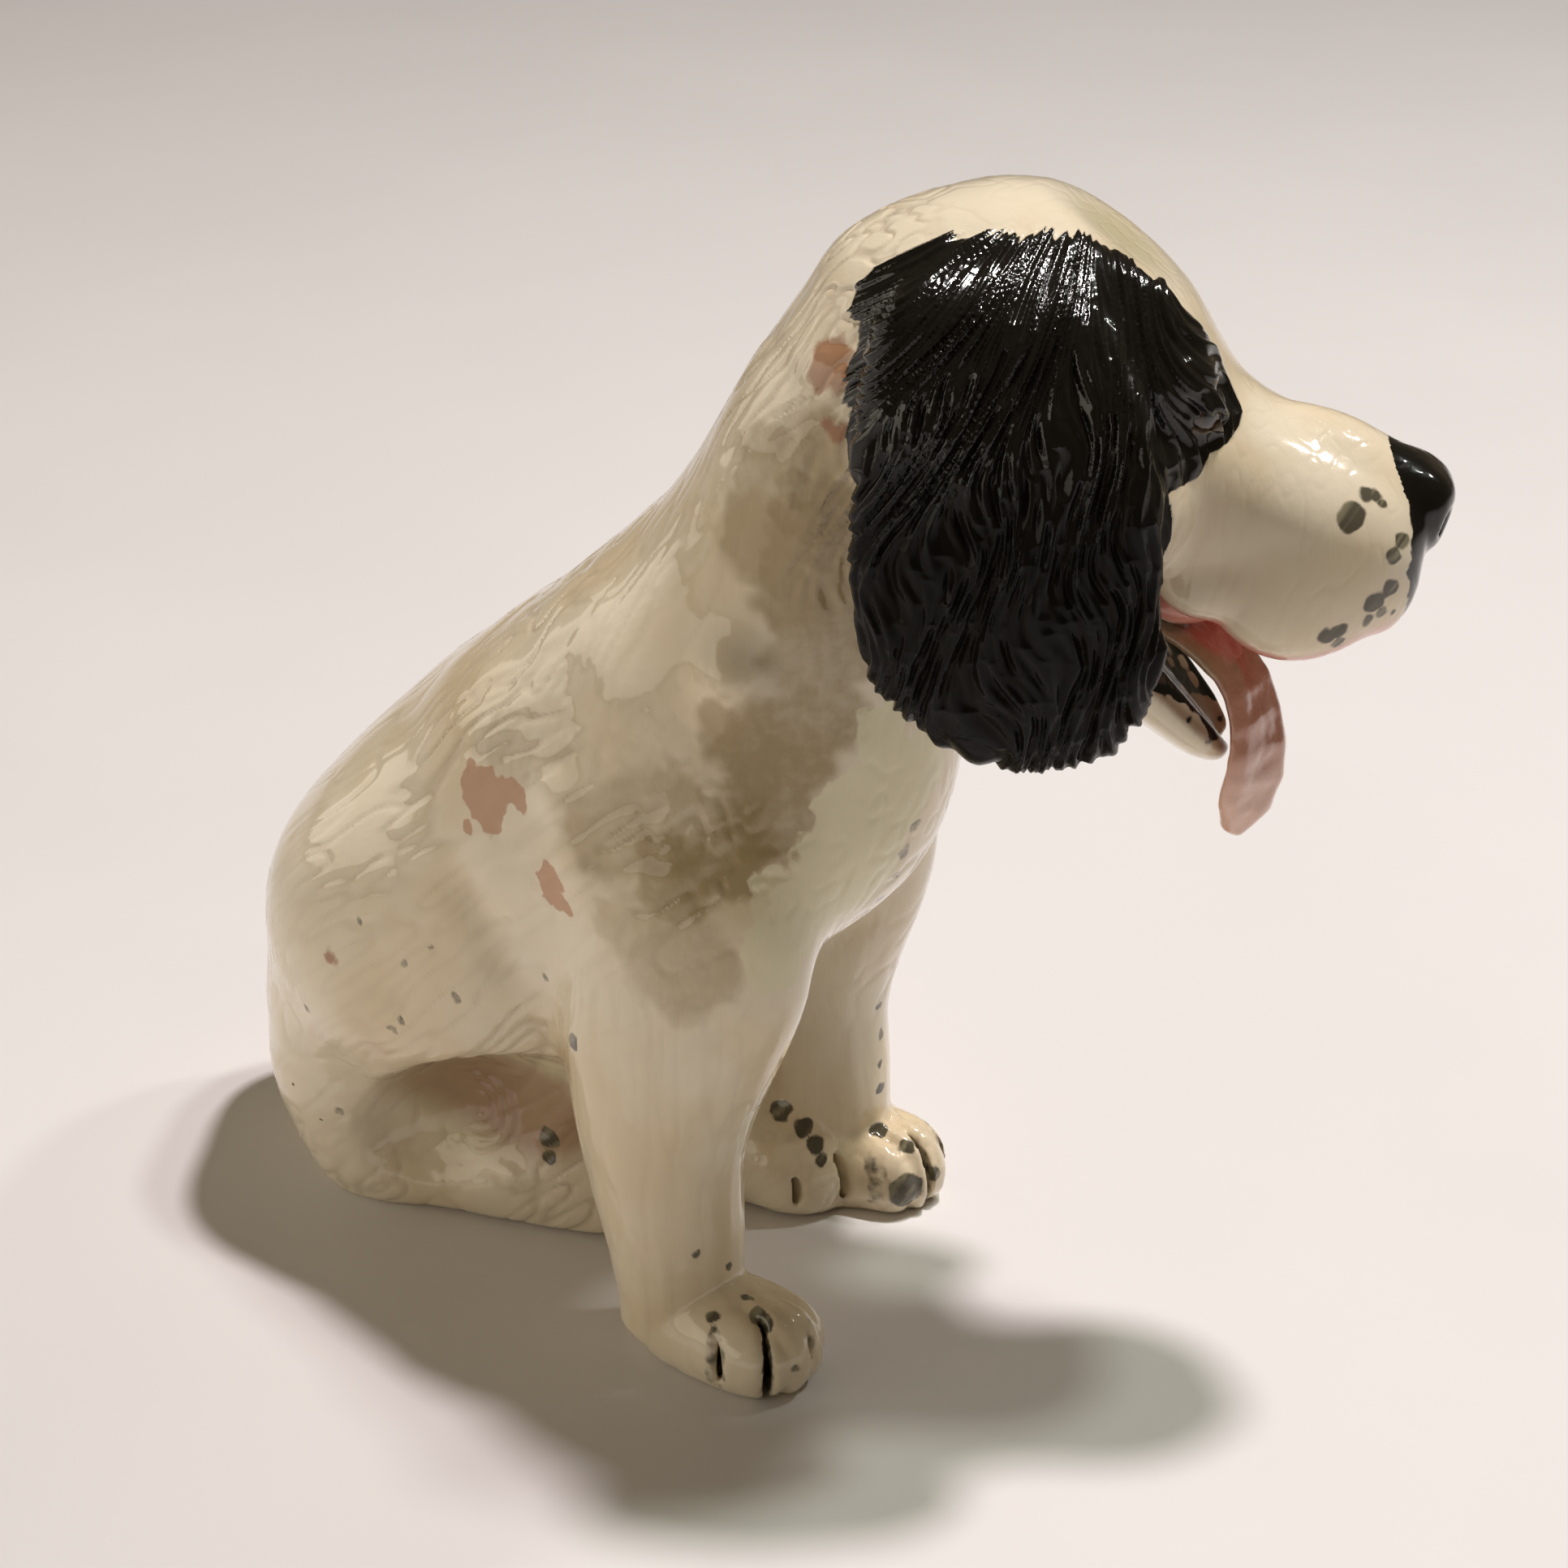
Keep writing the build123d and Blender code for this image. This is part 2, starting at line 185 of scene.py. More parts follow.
# Feet
# Each paw is pinched out of the end of its leg and the toes parted by strokes of a round tool; the
# hock is filled out so that the rump runs into the heel, and a thumb hollows the clay over the foot.
PAW_LENGTH = 6.0
PAW_TURNS = {"right_foreleg": math.radians(-45), "left_foreleg": math.radians(-10), "left_hind_foot": 0.0}
TOE_WIDTH = 3.5
TOE_FAN = 0.10
OUTER_CLEFT_BACK = 1.6
CLEFT_RADII = (3.8, 0.55, 3.2)
SIDE_CLEFT_RADII = (2.8, 0.5, 2.2)
CLEFT_HEIGHT = 3.4
CLEFT_JOINT = 0.6
RUMP_PLACE = (-39.5, -12.0, 15.0)
RUMP_RADII = (6.3, 5.5, 9.0)
HOCK_PLACE = (-37.0, -11.0, 8.5)
HOCK_RADII = (8.0, 5.2, 9.0)
HOCK_JOINT = 5.0
DISH_PLACE = (-20.0, -18.0, 13.0)
DISH_RADII = (13.0, 7.5, 8.5)
DISH_RISE = 0.4
DISH_JOINT = 2.0


def ellipsoid(x, y, z, radii):
    scaled = np.sqrt((x / radii[0]) ** 2 + (y / radii[1]) ** 2 + (z / radii[2]) ** 2)
    slope = np.sqrt((x / radii[0] ** 2) ** 2 + (y / radii[1] ** 2) ** 2 + (z / radii[2] ** 2) ** 2)
    return scaled * (scaled - 1) / np.maximum(slope, 1e-6)


# Toe tip of a foot and the way it points, from the solid's lowest points
def foot_lie(node, turn):
    points = skin(node)[0]
    sole = points[points[:, 2] < PAW_TOP]
    tip = sole[sole[:, 0] > sole[:, 0].max() - 1.0].mean(0)
    back = sole[sole[:, 0] < tip[0] - 10.0]
    back = back[back[:, 0] > tip[0] - 18.0].mean(0)
    heading = math.atan2(tip[1] - back[1], tip[0] - back[0])
    tip_x = sole[:, 0].max() + PAW_LENGTH * (math.cos(heading + turn) - math.cos(heading))
    tip_y = tip[1] + PAW_LENGTH * (math.sin(heading + turn) - math.sin(heading))
    return tip_x, tip_y, heading + turn


# Places along and across a foot, measured back from its toe tip
def in_foot(x, y, lie):
    tip_x, tip_y, heading = lie
    ahead = (x - tip_x) * math.cos(heading) + (y - tip_y) * math.sin(heading)
    aside = (y - tip_y) * math.cos(heading) - (x - tip_x) * math.sin(heading)
    return ahead, aside


def cleft(ahead, aside, z, place, radii):
    back = CLEFT_RADII[0] - 0.6 + OUTER_CLEFT_BACK * abs(place)
    across = aside - place * TOE_WIDTH - place * TOE_FAN * (ahead + back)
    return ellipsoid(ahead + back, across, z - CLEFT_HEIGHT, radii)


foot_lies = {}
for node, turn in PAW_TURNS.items():
    foot_lies[node] = foot_lie(node, turn)
    first, field = fields[node]
    here = block(first, field.shape)
    x, y, z = axes(first, field.shape)
    ahead, aside = in_foot(x, y, foot_lies[node])
    foot = clay[here]
    for place, radii in ((-1, SIDE_CLEFT_RADII), (0, CLEFT_RADII), (1, SIDE_CLEFT_RADII)):
        foot = carved(foot, cleft(ahead, aside, z, place, radii), CLEFT_JOINT)
    clay[here] = foot

first, field = fields["torso"]
here = block(first, field.shape)
x, y, z = axes(first, field.shape)
filled = clay[here]
for place, radii in ((RUMP_PLACE, RUMP_RADII), (HOCK_PLACE, HOCK_RADII)):
    filled = joined(filled, ellipsoid(x - place[0], y - place[1], z - place[2], radii), HOCK_JOINT)
hollow_z = z - DISH_PLACE[2] - DISH_RISE * (x - DISH_PLACE[0])
dish = ellipsoid(x - DISH_PLACE[0], y - DISH_PLACE[1], hollow_z, DISH_RADII)
clay[here] = carved(filled, dish, DISH_JOINT)


# Head
# The muzzle is drawn out of the skull, with full flews, a stop below the brow, nostrils pierced with
# a pointed tool and lids laid over the eyes as thin rolls of clay.
EYE_FORWARD = 20.4
EYE_UP = 2.1
EYE_LOOK_OUT = math.radians(58)
LID_RADIUS = 2.2
LID_OPENING = (1.2, 1.65, 0.62)
LID_OPENING_DROP = 0.2
LID_JOINT = 0.8
LID_CUT_JOINT = 0.3
# Pads of clay laid on both sides of the face: place, radii and width of the joint
FACE_PADS = {
    "brow": ((18.6, 7.2, 4.4), (2.8, 2.4, 1.8), 2.0),
    "cheek": ((13.0, 11.0, -5.0), (6.5, 3.2, 6.0), 2.5),
    "flew": ((28.6, 5.6, -13.5), (5.8, 3.4, 5.3), 2.0),
    "lip": ((21.6, 6.0, -12.6), (3.2, 2.4, 2.8), 1.5),
}
MOUTH_PLACE = (20.0, -15.4)
MOUTH_RADII = (5.0, 4.6, 2.8)
MOUTH_JOINT = 1.0
BRIDGE_PLACE = (33.5, -4.9)
BRIDGE_RADII = (6.5, 3.6, 3.6)
BRIDGE_FALL = 0.47
BRIDGE_JOINT = 1.5
NOSE_TOP = (0.578, 0.817, 19.2)
NOSE_FRONT = (0.91, -0.41, 40.9)
NOSE_CUT_JOINT = 0.8
NOSTRIL_PLACE = (40.6, 2.3, -8.6)
NOSTRIL_RADII = (1.5, 0.8, 1.0)
NOSTRIL_JOINT = 0.5
PHILTRUM_PLACE = (40.2, -14.6)
PHILTRUM_RADII = (1.6, 0.45, 5.0)
PHILTRUM_JOINT = 0.6


def middle_of(node):
    low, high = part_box(node)
    return (np.array(low) + np.array(high)) / 2 / MM


right_eye = middle_of("right_eye")
left_eye = middle_of("left_eye")
head_across = (left_eye - right_eye) / np.linalg.norm(left_eye - right_eye)
head_forward = np.array([head_across[1], -head_across[0], 0.0])
head_centre = (right_eye + left_eye) / 2 - EYE_FORWARD * head_forward - np.array([0, 0, EYE_UP])
eye_spread = np.linalg.norm(left_eye - right_eye) / 2


# Place in the head's own frame: forward, to its left, up
def in_head(x, y, z):
    dx, dy, dz = x - head_centre[0], y - head_centre[1], z - head_centre[2]
    return (
        dx * head_forward[0] + dy * head_forward[1],
        dx * head_across[0] + dy * head_across[1],
        dz,
    )


first, field = fields["head"]
first = np.minimum(first, fields["nose"][0])
last = np.maximum(fields["head"][0] + field.shape, fields["nose"][0] + fields["nose"][1].shape)
here = block(first, last - first)
x, y, z = axes(first, last - first)
hx, hy, hz = in_head(x, y, z)
face = clay[here]
for side in (-1, 1):
    out = hy * side
    for place, radii, joint in FACE_PADS.values():
        face = joined(face, ellipsoid(hx - place[0], out - place[1], hz - place[2], radii), joint)
    ex, ey, ez = hx - EYE_FORWARD, out - eye_spread, hz - EYE_UP
    look = ex * math.cos(EYE_LOOK_OUT) + ey * math.sin(EYE_LOOK_OUT)
    along = ex * math.sin(EYE_LOOK_OUT) - ey * math.cos(EYE_LOOK_OUT)
    face = joined(face, np.sqrt(ex ** 2 + ey ** 2 + ez ** 2) - LID_RADIUS, LID_JOINT)
    opening = ellipsoid(look - LID_RADIUS, along, ez + LID_OPENING_DROP, LID_OPENING)
    face = carved(face, opening, LID_CUT_JOINT)
    nostril = ellipsoid(hx - NOSTRIL_PLACE[0], out - NOSTRIL_PLACE[1], hz - NOSTRIL_PLACE[2], NOSTRIL_RADII)
    face = carved(face, nostril, NOSTRIL_JOINT)
philtrum = ellipsoid(hx - PHILTRUM_PLACE[0], hy, hz - PHILTRUM_PLACE[1], PHILTRUM_RADII)
face = carved(face, philtrum, PHILTRUM_JOINT)
bridge_z = hz - BRIDGE_PLACE[1] + BRIDGE_FALL * (hx - BRIDGE_PLACE[0])
face = joined(face, ellipsoid(hx - BRIDGE_PLACE[0], hy, bridge_z, BRIDGE_RADII), BRIDGE_JOINT)
face = joined(face, ellipsoid(hx - MOUTH_PLACE[0], hy, hz - MOUTH_PLACE[1], MOUTH_RADII), MOUTH_JOINT)
for ahead, above, reach in (NOSE_TOP, NOSE_FRONT):
    face = carved(face, reach - ahead * hx - above * hz, NOSE_CUT_JOINT)
clay[here] = face


# The clay's skin
# The whole dog is one luted body, so its skin is drawn in one piece, with the points closer together
# on the head and ears for the carved coat, and parted again along the joints of the pieces.
FINE_PIECES = ("head", "right_ear", "left_ear", "nose", "lower_jaw")
NEVER = -1


def depth_at(first, field, points):
    spot = np.clip((points - lowest) / GRAIN - first, 0, np.array(field.shape) - 1.001)
    cell = np.floor(spot).astype(int)
    part = spot - cell
    total = 0
    for corner in product((0, 1), repeat=3):
        weight = 1
        for axis in range(3):
            weight = weight * (part[:, axis] if corner[axis] else 1 - part[:, axis])
        i, j, k = (cell + corner).T
        total = total + weight * field[i, j, k]
    return total


def unlinked_groups(size, edges):
    label = np.arange(size)
    while True:
        a, b = label[edges[:, 0]], label[edges[:, 1]]
        if (a == b).all():
            return label
        low = np.minimum(a, b)
        np.minimum.at(label, a, low)
        np.minimum.at(label, b, low)
        while (label != label[label]).any():
            label = label[label]


shell = openvdb.FloatGrid(REACH)
shell.copyFromArray(clay, ijk=(0, 0, 0))
points, quads = shell.convertToQuads(0.0)
points = points.astype(np.float64) * GRAIN + lowest
quads = quads.astype(np.int64)

group = unlinked_groups(len(points), np.concatenate([quads[:, [0, 1]], quads[:, [1, 2]], quads[:, [2, 3]]]))
main = np.bincount(group).argmax()
quads = quads[group[quads[:, 0]] == main]
kept, quads = np.unique(quads, return_inverse=True)
quads = quads.reshape(-1, 4)
points = points[kept]


def owners(points):
    depths = [depth_at(*fields[node], points) for node in LUTED]
    return np.argmin(depths, axis=0)


# Each chosen face in four, with the halved edges also given to the faces beside it
def closer(points, quads, chosen):
    ends = np.stack([quads, np.roll(quads, -1, axis=1)], axis=2)
    ends = np.sort(ends, axis=2)
    keys, edge = np.unique(ends[..., 0] * len(points) + ends[..., 1], return_inverse=True)
    edge = edge.reshape(-1, 4)
    halved = np.zeros(len(keys), bool)
    halved[edge[chosen]] = True
    middle = np.full(len(keys), NEVER)
    middle[halved] = len(points) + np.arange(halved.sum())
    a, b = keys[halved] // len(points), keys[halved] % len(points)
    centre = len(points) + halved.sum() + np.arange(chosen.sum())
    added = np.concatenate([(points[a] + points[b]) / 2, points[quads[chosen]].mean(1)])
    faces = np.full((4 * chosen.sum() + (~chosen).sum(), 8), NEVER)
    part, sides = quads[chosen], middle[edge[chosen]]
    for corner in range(4):
        rows = slice(corner * len(part), (corner + 1) * len(part))
        faces[rows, 0] = part[:, corner]
        faces[rows, 1] = sides[:, corner]
        faces[rows, 2] = centre
        faces[rows, 3] = sides[:, corner - 1]
    faces[4 * len(part):, 0::2] = quads[~chosen]
    faces[4 * len(part):, 1::2] = middle[edge[~chosen]]
    return np.concatenate([points, added]), faces


names = list(LUTED)
fine = np.isin(owners(points[quads[:, 0]]), [names.index(node) for node in FINE_PIECES])
old_count = len(points)
points, faces = closer(points, quads, fine)


def facing(points, faces):
    filled = faces.copy()
    for corner in range(1, 8):
        filled[:, corner] = np.where(faces[:, corner] < 0, filled[:, corner - 1], faces[:, corner])
    area = np.zeros((len(faces), 3))
    for corner in range(8):
        area += np.cross(points[filled[:, corner]], points[filled[:, (corner + 1) % 8]])
    normal = np.zeros_like(points)
    for corner in range(8):
        used = faces[:, corner] >= 0
        for axis in range(3):
            normal[:, axis] += np.bincount(faces[used, corner], area[used, axis], len(points))
    return normal / np.maximum(np.linalg.norm(normal, axis=1, keepdims=True), 1e-12)


normals = facing(points, faces)
start = np.zeros(3, int)
points[old_count:] -= normals[old_count:] * depth_at(start, clay, points[old_count:])[:, None]
normals = facing(points, faces)
owner = owners(points)
head_x, head_y, head_z = in_head(*points.T)
bend = depth_at(start, soft_clay, points)
del soft_clay


# The carved coat
# Long wavy locks are cut into the ears and the cheeks with a loop tool, and finer strokes are combed
# over the neck, back and thighs; the rest keeps the soft lumps left by the fingers.
LOCK_ROOT = (12.0, 17.5)
LOCK_SPREAD = 32.0
LOCK_GATHER = 0.12
# Pitch, length, depth and lean of each set of cuts
GOUGES = ((2.9, 12.0, 0.50, 0.00), (1.10, 6.5, 0.55, 0.06), (0.80, 4.5, 0.32, -0.10))
GOUGE_HALF = 0.44
GOUGE_WANDER = 0.06
LOCK_SWELL = 0.25
LOCK_PROUD = 0.5
STROKE_PITCH = 1.2
STROKE_LENGTH = 7.0
STROKE_DEPTH = 0.20
FINGER_LUMPS = ((12.0, 0.40), (5.0, 0.12))
# Bumps and dents left by the thumb: place, spread and rise
THUMBED = (
    (8.6, -16.4, 65.6, 3.0, 1.8), (-1.1, -18.6, 60.8, 6.0, 0.9), (2.3, -19.0, 56.0, 5.0, -0.4),
    (-6.4, -18.1, 60.6, 3.6, -0.5), (-6.4, -20.2, 52.6, 2.6, 0.7), (-3.3, -21.0, 47.0, 2.6, 0.5),
    (-16.5, -20.1, 40.4, 2.4, -0.5), (-14.2, -20.2, 37.8, 2.4, -0.6), (-12.9, -19.2, 33.8, 2.2, -0.5),
    (-21.6, -13.0, 7.0, 1.3, 0.5), (-19.4, -12.5, 6.4, 1.2, 0.5), (-12.3, -12.5, 9.6, 1.4, 0.4),
)
# Edges of the black over the head, as places forward and how far out or up the edge lies there
BLACK_TOP = (
    (-8.0, -4.0, 1.0, 6.0, 12.0, 18.0, 22.0, 23.6, 25.2),
    (8.0, 6.2, 6.2, 7.2, 5.8, 4.2, 3.4, 5.0, 9.5),
)
BLACK_LOW = ((4.0, 10.0, 16.6, 20.9, 23.4, 25.2), (-9.0, -6.5, -3.4, -2.6, 0.6, 4.2))
BLACK_REAR = -5.6
BLACK_FAR = 4.5
NAPE = (-2.0, 5.0)
NECK_LOCKS = (
    (-8.0, 10.4, -3.9, 5.0), (-6.5, 9.9, -8.1, 5.0), (-7.4, 9.8, -11.5, 4.5), (-8.6, 10.3, 0.0, 4.5),
)
NECK_LOCK_SHARE = 0.55
TUFTS = (
    (-19.0, -20.0, 42.0, 4.5), (-14.2, -20.2, 38.8, 4.5), (-13.6, -19.0, 34.5, 3.5), (-11.6, -18.3, 30.7, 3.5),
)
TUFT_GAIN = 0.6
NECK_WAY = (-0.35, 0, -0.94)
BACK_WAY = (-0.72, 0, -0.7)
LEG_WAY = (0, 0, -1)
SWIRL = (-24.2, -13.5, 11.6)
SWIRL_RINGS = ((1.4, 0.30), (2.6, 0.40), (3.8, 0.35))
SWIRL_RING_WIDTH = 0.45
SCRAMBLE = (7919, 1274126177, 1103515245)
SCRAMBLE_WRAP = 2147483647


# Smooth clouds between -1 and 1, always the same for a seed
def noise(places, seed):
    cell = np.floor(places).astype(np.int64)
    part = places - cell
    part = part * part * (3 - 2 * part)
    total = 0
    for corner in product((0, 1), repeat=places.shape[1]):
        key = np.full(len(places), seed * SCRAMBLE[0], np.int64)
        weight = 1
        for axis in range(places.shape[1]):
            key = (key ^ (cell[:, axis] + corner[axis])) * SCRAMBLE[1] % SCRAMBLE_WRAP
            weight = weight * (part[:, axis] if corner[axis] else 1 - part[:, axis])
        key = (key ^ (key >> 13)) * SCRAMBLE[2] % SCRAMBLE_WRAP
        total = total + weight * (key % 65536 / 32768 - 1)
    return total


def is_piece(*pieces):
    return np.isin(owner, [names.index(piece) for piece in pieces])


on_ear = is_piece("right_ear", "left_ear")
on_head = is_piece("head")
side = np.where(head_y < 0, 0.0, 40.0)
down = LOCK_ROOT[1] - head_z
fan = np.sin(math.pi / 2 * np.clip(down / LOCK_SPREAD, 0, 1))
gathered = LOCK_GATHER + (1 - LOCK_GATHER) * fan
lock = (head_x - LOCK_ROOT[0]) / gathered
lock += 0.9 * np.sin(0.34 * down + 0.40 * lock + side)
lock += 1.5 * noise(np.stack([lock / 5 + side, down / 8], 1), 3)
lock += 0.25 * noise(np.stack([lock / 1.8 + side, down / 4.0], 1), 4)


# Tapering cuts side by side in lanes that follow the fall of the hair
def gouged(pitch, length, lean, seed):
    lane = (lock + lean * down) / pitch
    number = np.floor(lane)
    chance = noise(np.stack([number * 3.7 + side, np.zeros_like(lane)], 1), seed)
    run = down / (length * (1 + 0.35 * chance)) + 5 * chance
    centre = 0.5 + GOUGE_WANDER * np.sin(2 * math.pi * run)
    ends = np.abs(np.sin(math.pi * run)) ** 0.5
    ends = ends * (0.75 + 0.45 * noise(np.stack([number * 2.3 + side, np.floor(run) * 1.7], 1), seed + 70))
    return np.clip(1 - np.abs(lane - number - centre) / GOUGE_HALF, 0, 1) * ends


cuts = [gouged(pitch, length, lean, 5 + i) for i, (pitch, length, depth, lean) in enumerate(GOUGES)]
locks = LOCK_PROUD + LOCK_SWELL * noise(np.stack([lock / 5 + side, down / 9], 1), 10)
for cut, (pitch, length, depth, lean) in zip(cuts, GOUGES):
    locks -= depth * cut * ease(gathered * pitch, 0.15, 0.5)
lock_groove = np.maximum(np.maximum(cuts[0], cuts[1]), 0.6 * cuts[2])

below_top = np.abs(head_y) - np.interp(head_x, *BLACK_TOP) - BLACK_FAR * (head_y > 0)
black = np.minimum(below_top, head_z - np.interp(head_x, *BLACK_LOW))
black = np.minimum(black, head_x - BLACK_REAR)
black_edge = 0.9 * noise(np.stack([lock * 0.6, down / 6], 1), 8)
black += black_edge + 0.3 * noise(np.stack([lock * 1.6, down / 2], 1), 9)
black = np.where(on_head, black, np.where(on_ear | is_piece("nose"), 3.0, -3.0))
lock_share = np.where(on_ear, 1.0, ease(black, -0.4, 0.8) * 0.8) * (on_ear | on_head)


# How near each point lies to the middle of some soft marks
def near(marks, places):
    return np.max([1 - np.linalg.norm(places - place, axis=1) / size for *place, size in marks], axis=0)


head_places = np.stack([head_x, np.abs(head_y), head_z], 1)
neck_share = NECK_LOCK_SHARE * ease(near(NECK_LOCKS, head_places), 0.0, 0.5) * (on_head | is_piece("torso"))
lock_share = np.maximum(lock_share, neck_share)


# Strokes combed along one direction
def strokes(direction, seed):
    direction = np.array(direction) / np.linalg.norm(direction)
    first_across = np.cross(direction, (0.3, 1.0, 0.2))
    first_across /= np.linalg.norm(first_across)
    second_across = np.cross(direction, first_across)
    places = np.stack([
        points @ first_across / STROKE_PITCH,
        points @ second_across / STROKE_PITCH,
        points @ direction / STROKE_LENGTH,
    ], 1)
    places[:, :2] += 0.5 * noise(points / 6.0, seed + 50)[:, None]
    return np.clip(1 - 3.2 * np.abs(noise(places, seed)), 0, 1)


high = ease(points[:, 2], 50, 68)
on_leg = is_piece("right_foreleg", "left_foreleg") * (1 - ease(points[:, 2], *SHOULDER))
combed = strokes(NECK_WAY, 11) * high + strokes(BACK_WAY, 12) * (1 - high)
combed = combed * (1 - on_leg) + strokes(LEG_WAY, 13) * on_leg
patchy = ease(noise(points / 13.0, 14), -0.35, 0.35)
on_face = (on_head | is_piece("lower_jaw", "nose")) * (1 - ease(-head_x, *NAPE))
combed *= on_face * (0.12 + 0.5 * ease(-head_x, -6, 8)) + (1 - on_face) * (0.35 + 0.65 * patchy)
combed *= 1 - lock_share
combed *= np.where(on_leg > 0, 0.5, 1.0)
combed *= 1 + TUFT_GAIN * ease(near(TUFTS, points), 0.0, 0.6)

lumps = sum(size * noise(points / spread, 20 + i) for i, (spread, size) in enumerate(FINGER_LUMPS))
lumps *= (1 - 0.75 * np.maximum(on_face, on_ear)) * ease(points[:, 2], 0, 6)
lift = locks * lock_share - STROKE_DEPTH * combed + lumps
for *place, spread, rise in THUMBED:
    lift += rise * np.exp(-((points - place) ** 2).sum(1) / spread ** 2)
swirl_away = np.linalg.norm(points[:, ::2] - SWIRL[::2], axis=1)
on_swirl = ease(points[:, 0] - SWIRL[0], -1.5, 1.0) * (np.abs(points[:, 1] - SWIRL[1]) < 4)
for radius, rise in SWIRL_RINGS:
    lift += rise * np.exp(-((swirl_away - radius) / SWIRL_RING_WIDTH) ** 2) * on_swirl
lift *= np.where(points[:, 2] < 0.3, 0.0, 1.0)
groove = np.where(lock_share > 0.3, lock_groove, combed)

points += normals * lift[:, None]
points[:, 2] = np.maximum(points[:, 2], 0)
normals = facing(points, faces)


# Painted marks
# Black ears, eye patches and nose, brown-black dabs on muzzle, paws and thighs, rust behind the ears, pink
# in the mouth, bare clay where the white came away, brown wear, painted shade and painted light.
# Each dab is its middle and its radius; those on the muzzle are in the head's own frame
MUZZLE_DABS = (
    (32.6, 7.5, -6.2, 1.15), (34.2, 6.6, -4.0, 0.75), (34.9, 6.0, -4.5, 0.6), (35.0, 5.8, -5.6, 0.35),
    (35.4, 6.4, -9.4, 0.75), (36.0, 5.8, -8.6, 0.7), (34.6, 7.0, -12.9, 0.95), (35.5, 6.5, -12.0, 0.8),
    (34.2, 7.0, -14.6, 0.6), (35.2, 6.4, -14.2, 0.6), (36.2, 5.6, -14.6, 0.4), (31.2, 8.0, -15.6, 0.8),
    (32.2, 7.6, -15.2, 0.8), (32.4, 7.6, -16.4, 0.6),
)
NOSE_EDGE = (
    (-18.6, -17.5, -15.0, -13.5, -11.0, -9.0, -4.7, -3.0),
    (38.4, 37.3, 37.5, 37.6, 37.4, 37.4, 37.0, 36.5),
)
LEG_DABS = (
    (-15.6, -13.3, 10.4, 1.2), (-16.0, -13.0, 8.9, 0.7), (-1.9, 6.5, 10.0, 1.1), (0.6, 6.4, 9.0, 0.9),
    (1.8, 6.3, 7.6, 0.9), (2.8, 6.2, 6.4, 0.7),
    (9.0, -20.3, 7.1, 0.7), (12.4, -18.4, 7.0, 0.8), (13.6, -18.2, 6.4, 0.8), (8.5, -17.1, 9.9, 0.45),
    (7.1, -19.9, 12.2, 0.4), (10.6, -17.4, 9.0, 0.5), (-4.6, -21.6, 30.1, 0.9), (16.6, -18.6, 3.6, 0.4),
    (5.3, 12.0, 20.6, 0.4), (4.9, 12.7, 17.1, 0.5), (4.8, 12.6, 14.0, 0.45), (4.9, 12.6, 11.8, 0.75),
    (5.3, 12.0, 7.0, 0.9), (8.6, 11.8, 6.9, 0.8), (9.9, 9.9, 3.1, 1.9), (11.1, 12.8, 4.1, 0.7),
)
BODY_DABS = (
    (-23.1, -22.1, 31.9, 0.4), (-17.5, -21.3, 30.1, 0.5), (-35.0, -21.1, 22.6, 0.55),
    (-24.6, -22.0, 24.7, 0.55),
    (-23.8, -22.0, 25.6, 0.4), (-36.9, -13.1, 11.0, 0.6), (-9.0, -18.3, 34.3, 0.4), (-38.0, 17.0, 24.0, 0.8),
    (18.2, -4.8, 47.8, 0.8), (15.8, -4.7, 42.4, 0.6), (18.8, -4.6, 50.1, 0.6), (-24.0, 18.0, 33.0, 0.8),
    (17.0, -4.7, 45.0, 0.5), (-28.0, -22.0, 34.5, 0.35), (-20.0, -21.5, 34.0, 0.3),
)
FAINT_DAB = 0.06
RUST = ((16.1, -13.1, 92.2, 2.4), (-31.1, -22.1, 30.2, 1.0), (16.6, -12.9, 87.0, 1.2))
BARE = (
    (-14.2, -19.8, 49.8, 2.6), (-16.4, -19.4, 50.6, 1.8), (-11.6, -20.2, 51.2, 1.6),
    (-16.2, -20.0, 46.4, 0.9), (-6.5, -20.1, 43.9, 1.9), (-5.0, -20.8, 42.6, 1.2),
)
# The brown patches under the ears, partly worn glaze and partly painted shade, also have a strength
WEAR_AND_SHADE = (
    (12.1, -15.0, 59.4, 6.5, 1.0), (15.2, -12.6, 62.6, 4.5, 1.0), (11.5, -15.2, 54.4, 6.0, 0.95),
    (8.2, -16.6, 62.4, 3.2, 0.75), (13.6, -14.4, 67.0, 4.0, 0.8), (14.2, -14.2, 71.8, 4.8, 0.85),
    (15.8, -13.0, 71.5, 4.5, 0.9), (15.0, -13.5, 66.0, 4.8, 0.95), (16.6, -12.4, 76.0, 4.5, 0.9),
    (16.4, -12.4, 67.8, 4.0, 0.9), (14.0, -14.2, 76.0, 5.0, 0.9), (15.6, -13.6, 80.6, 5.0, 1.0),
    (10.5, -15.6, 78.0, 5.0, 0.7),
    (11.4, -15.2, 83.2, 4.5, 0.65), (16.0, -13.2, 86.4, 4.0, 0.8), (6.2, -20.9, 48.7, 5.0, 0.85),
    (9.4, -18.9, 50.4, 4.0, 0.85), (3.7, -20.0, 53.1, 5.5, 0.5), (-0.6, -20.6, 50.9, 5.0, 0.5),
    (6.8, -21.9, 41.2, 6.0, 0.55), (2.2, -21.4, 44.2, 4.5, 0.4), (-8.7, -18.8, 57.1, 4.0, 0.4),
    (-12.4, -18.6, 54.6, 4.0, 0.45), (13.0, 13.0, 60.0, 7.0, 0.7), (10.0, 14.0, 53.0, 6.0, 0.6),
)
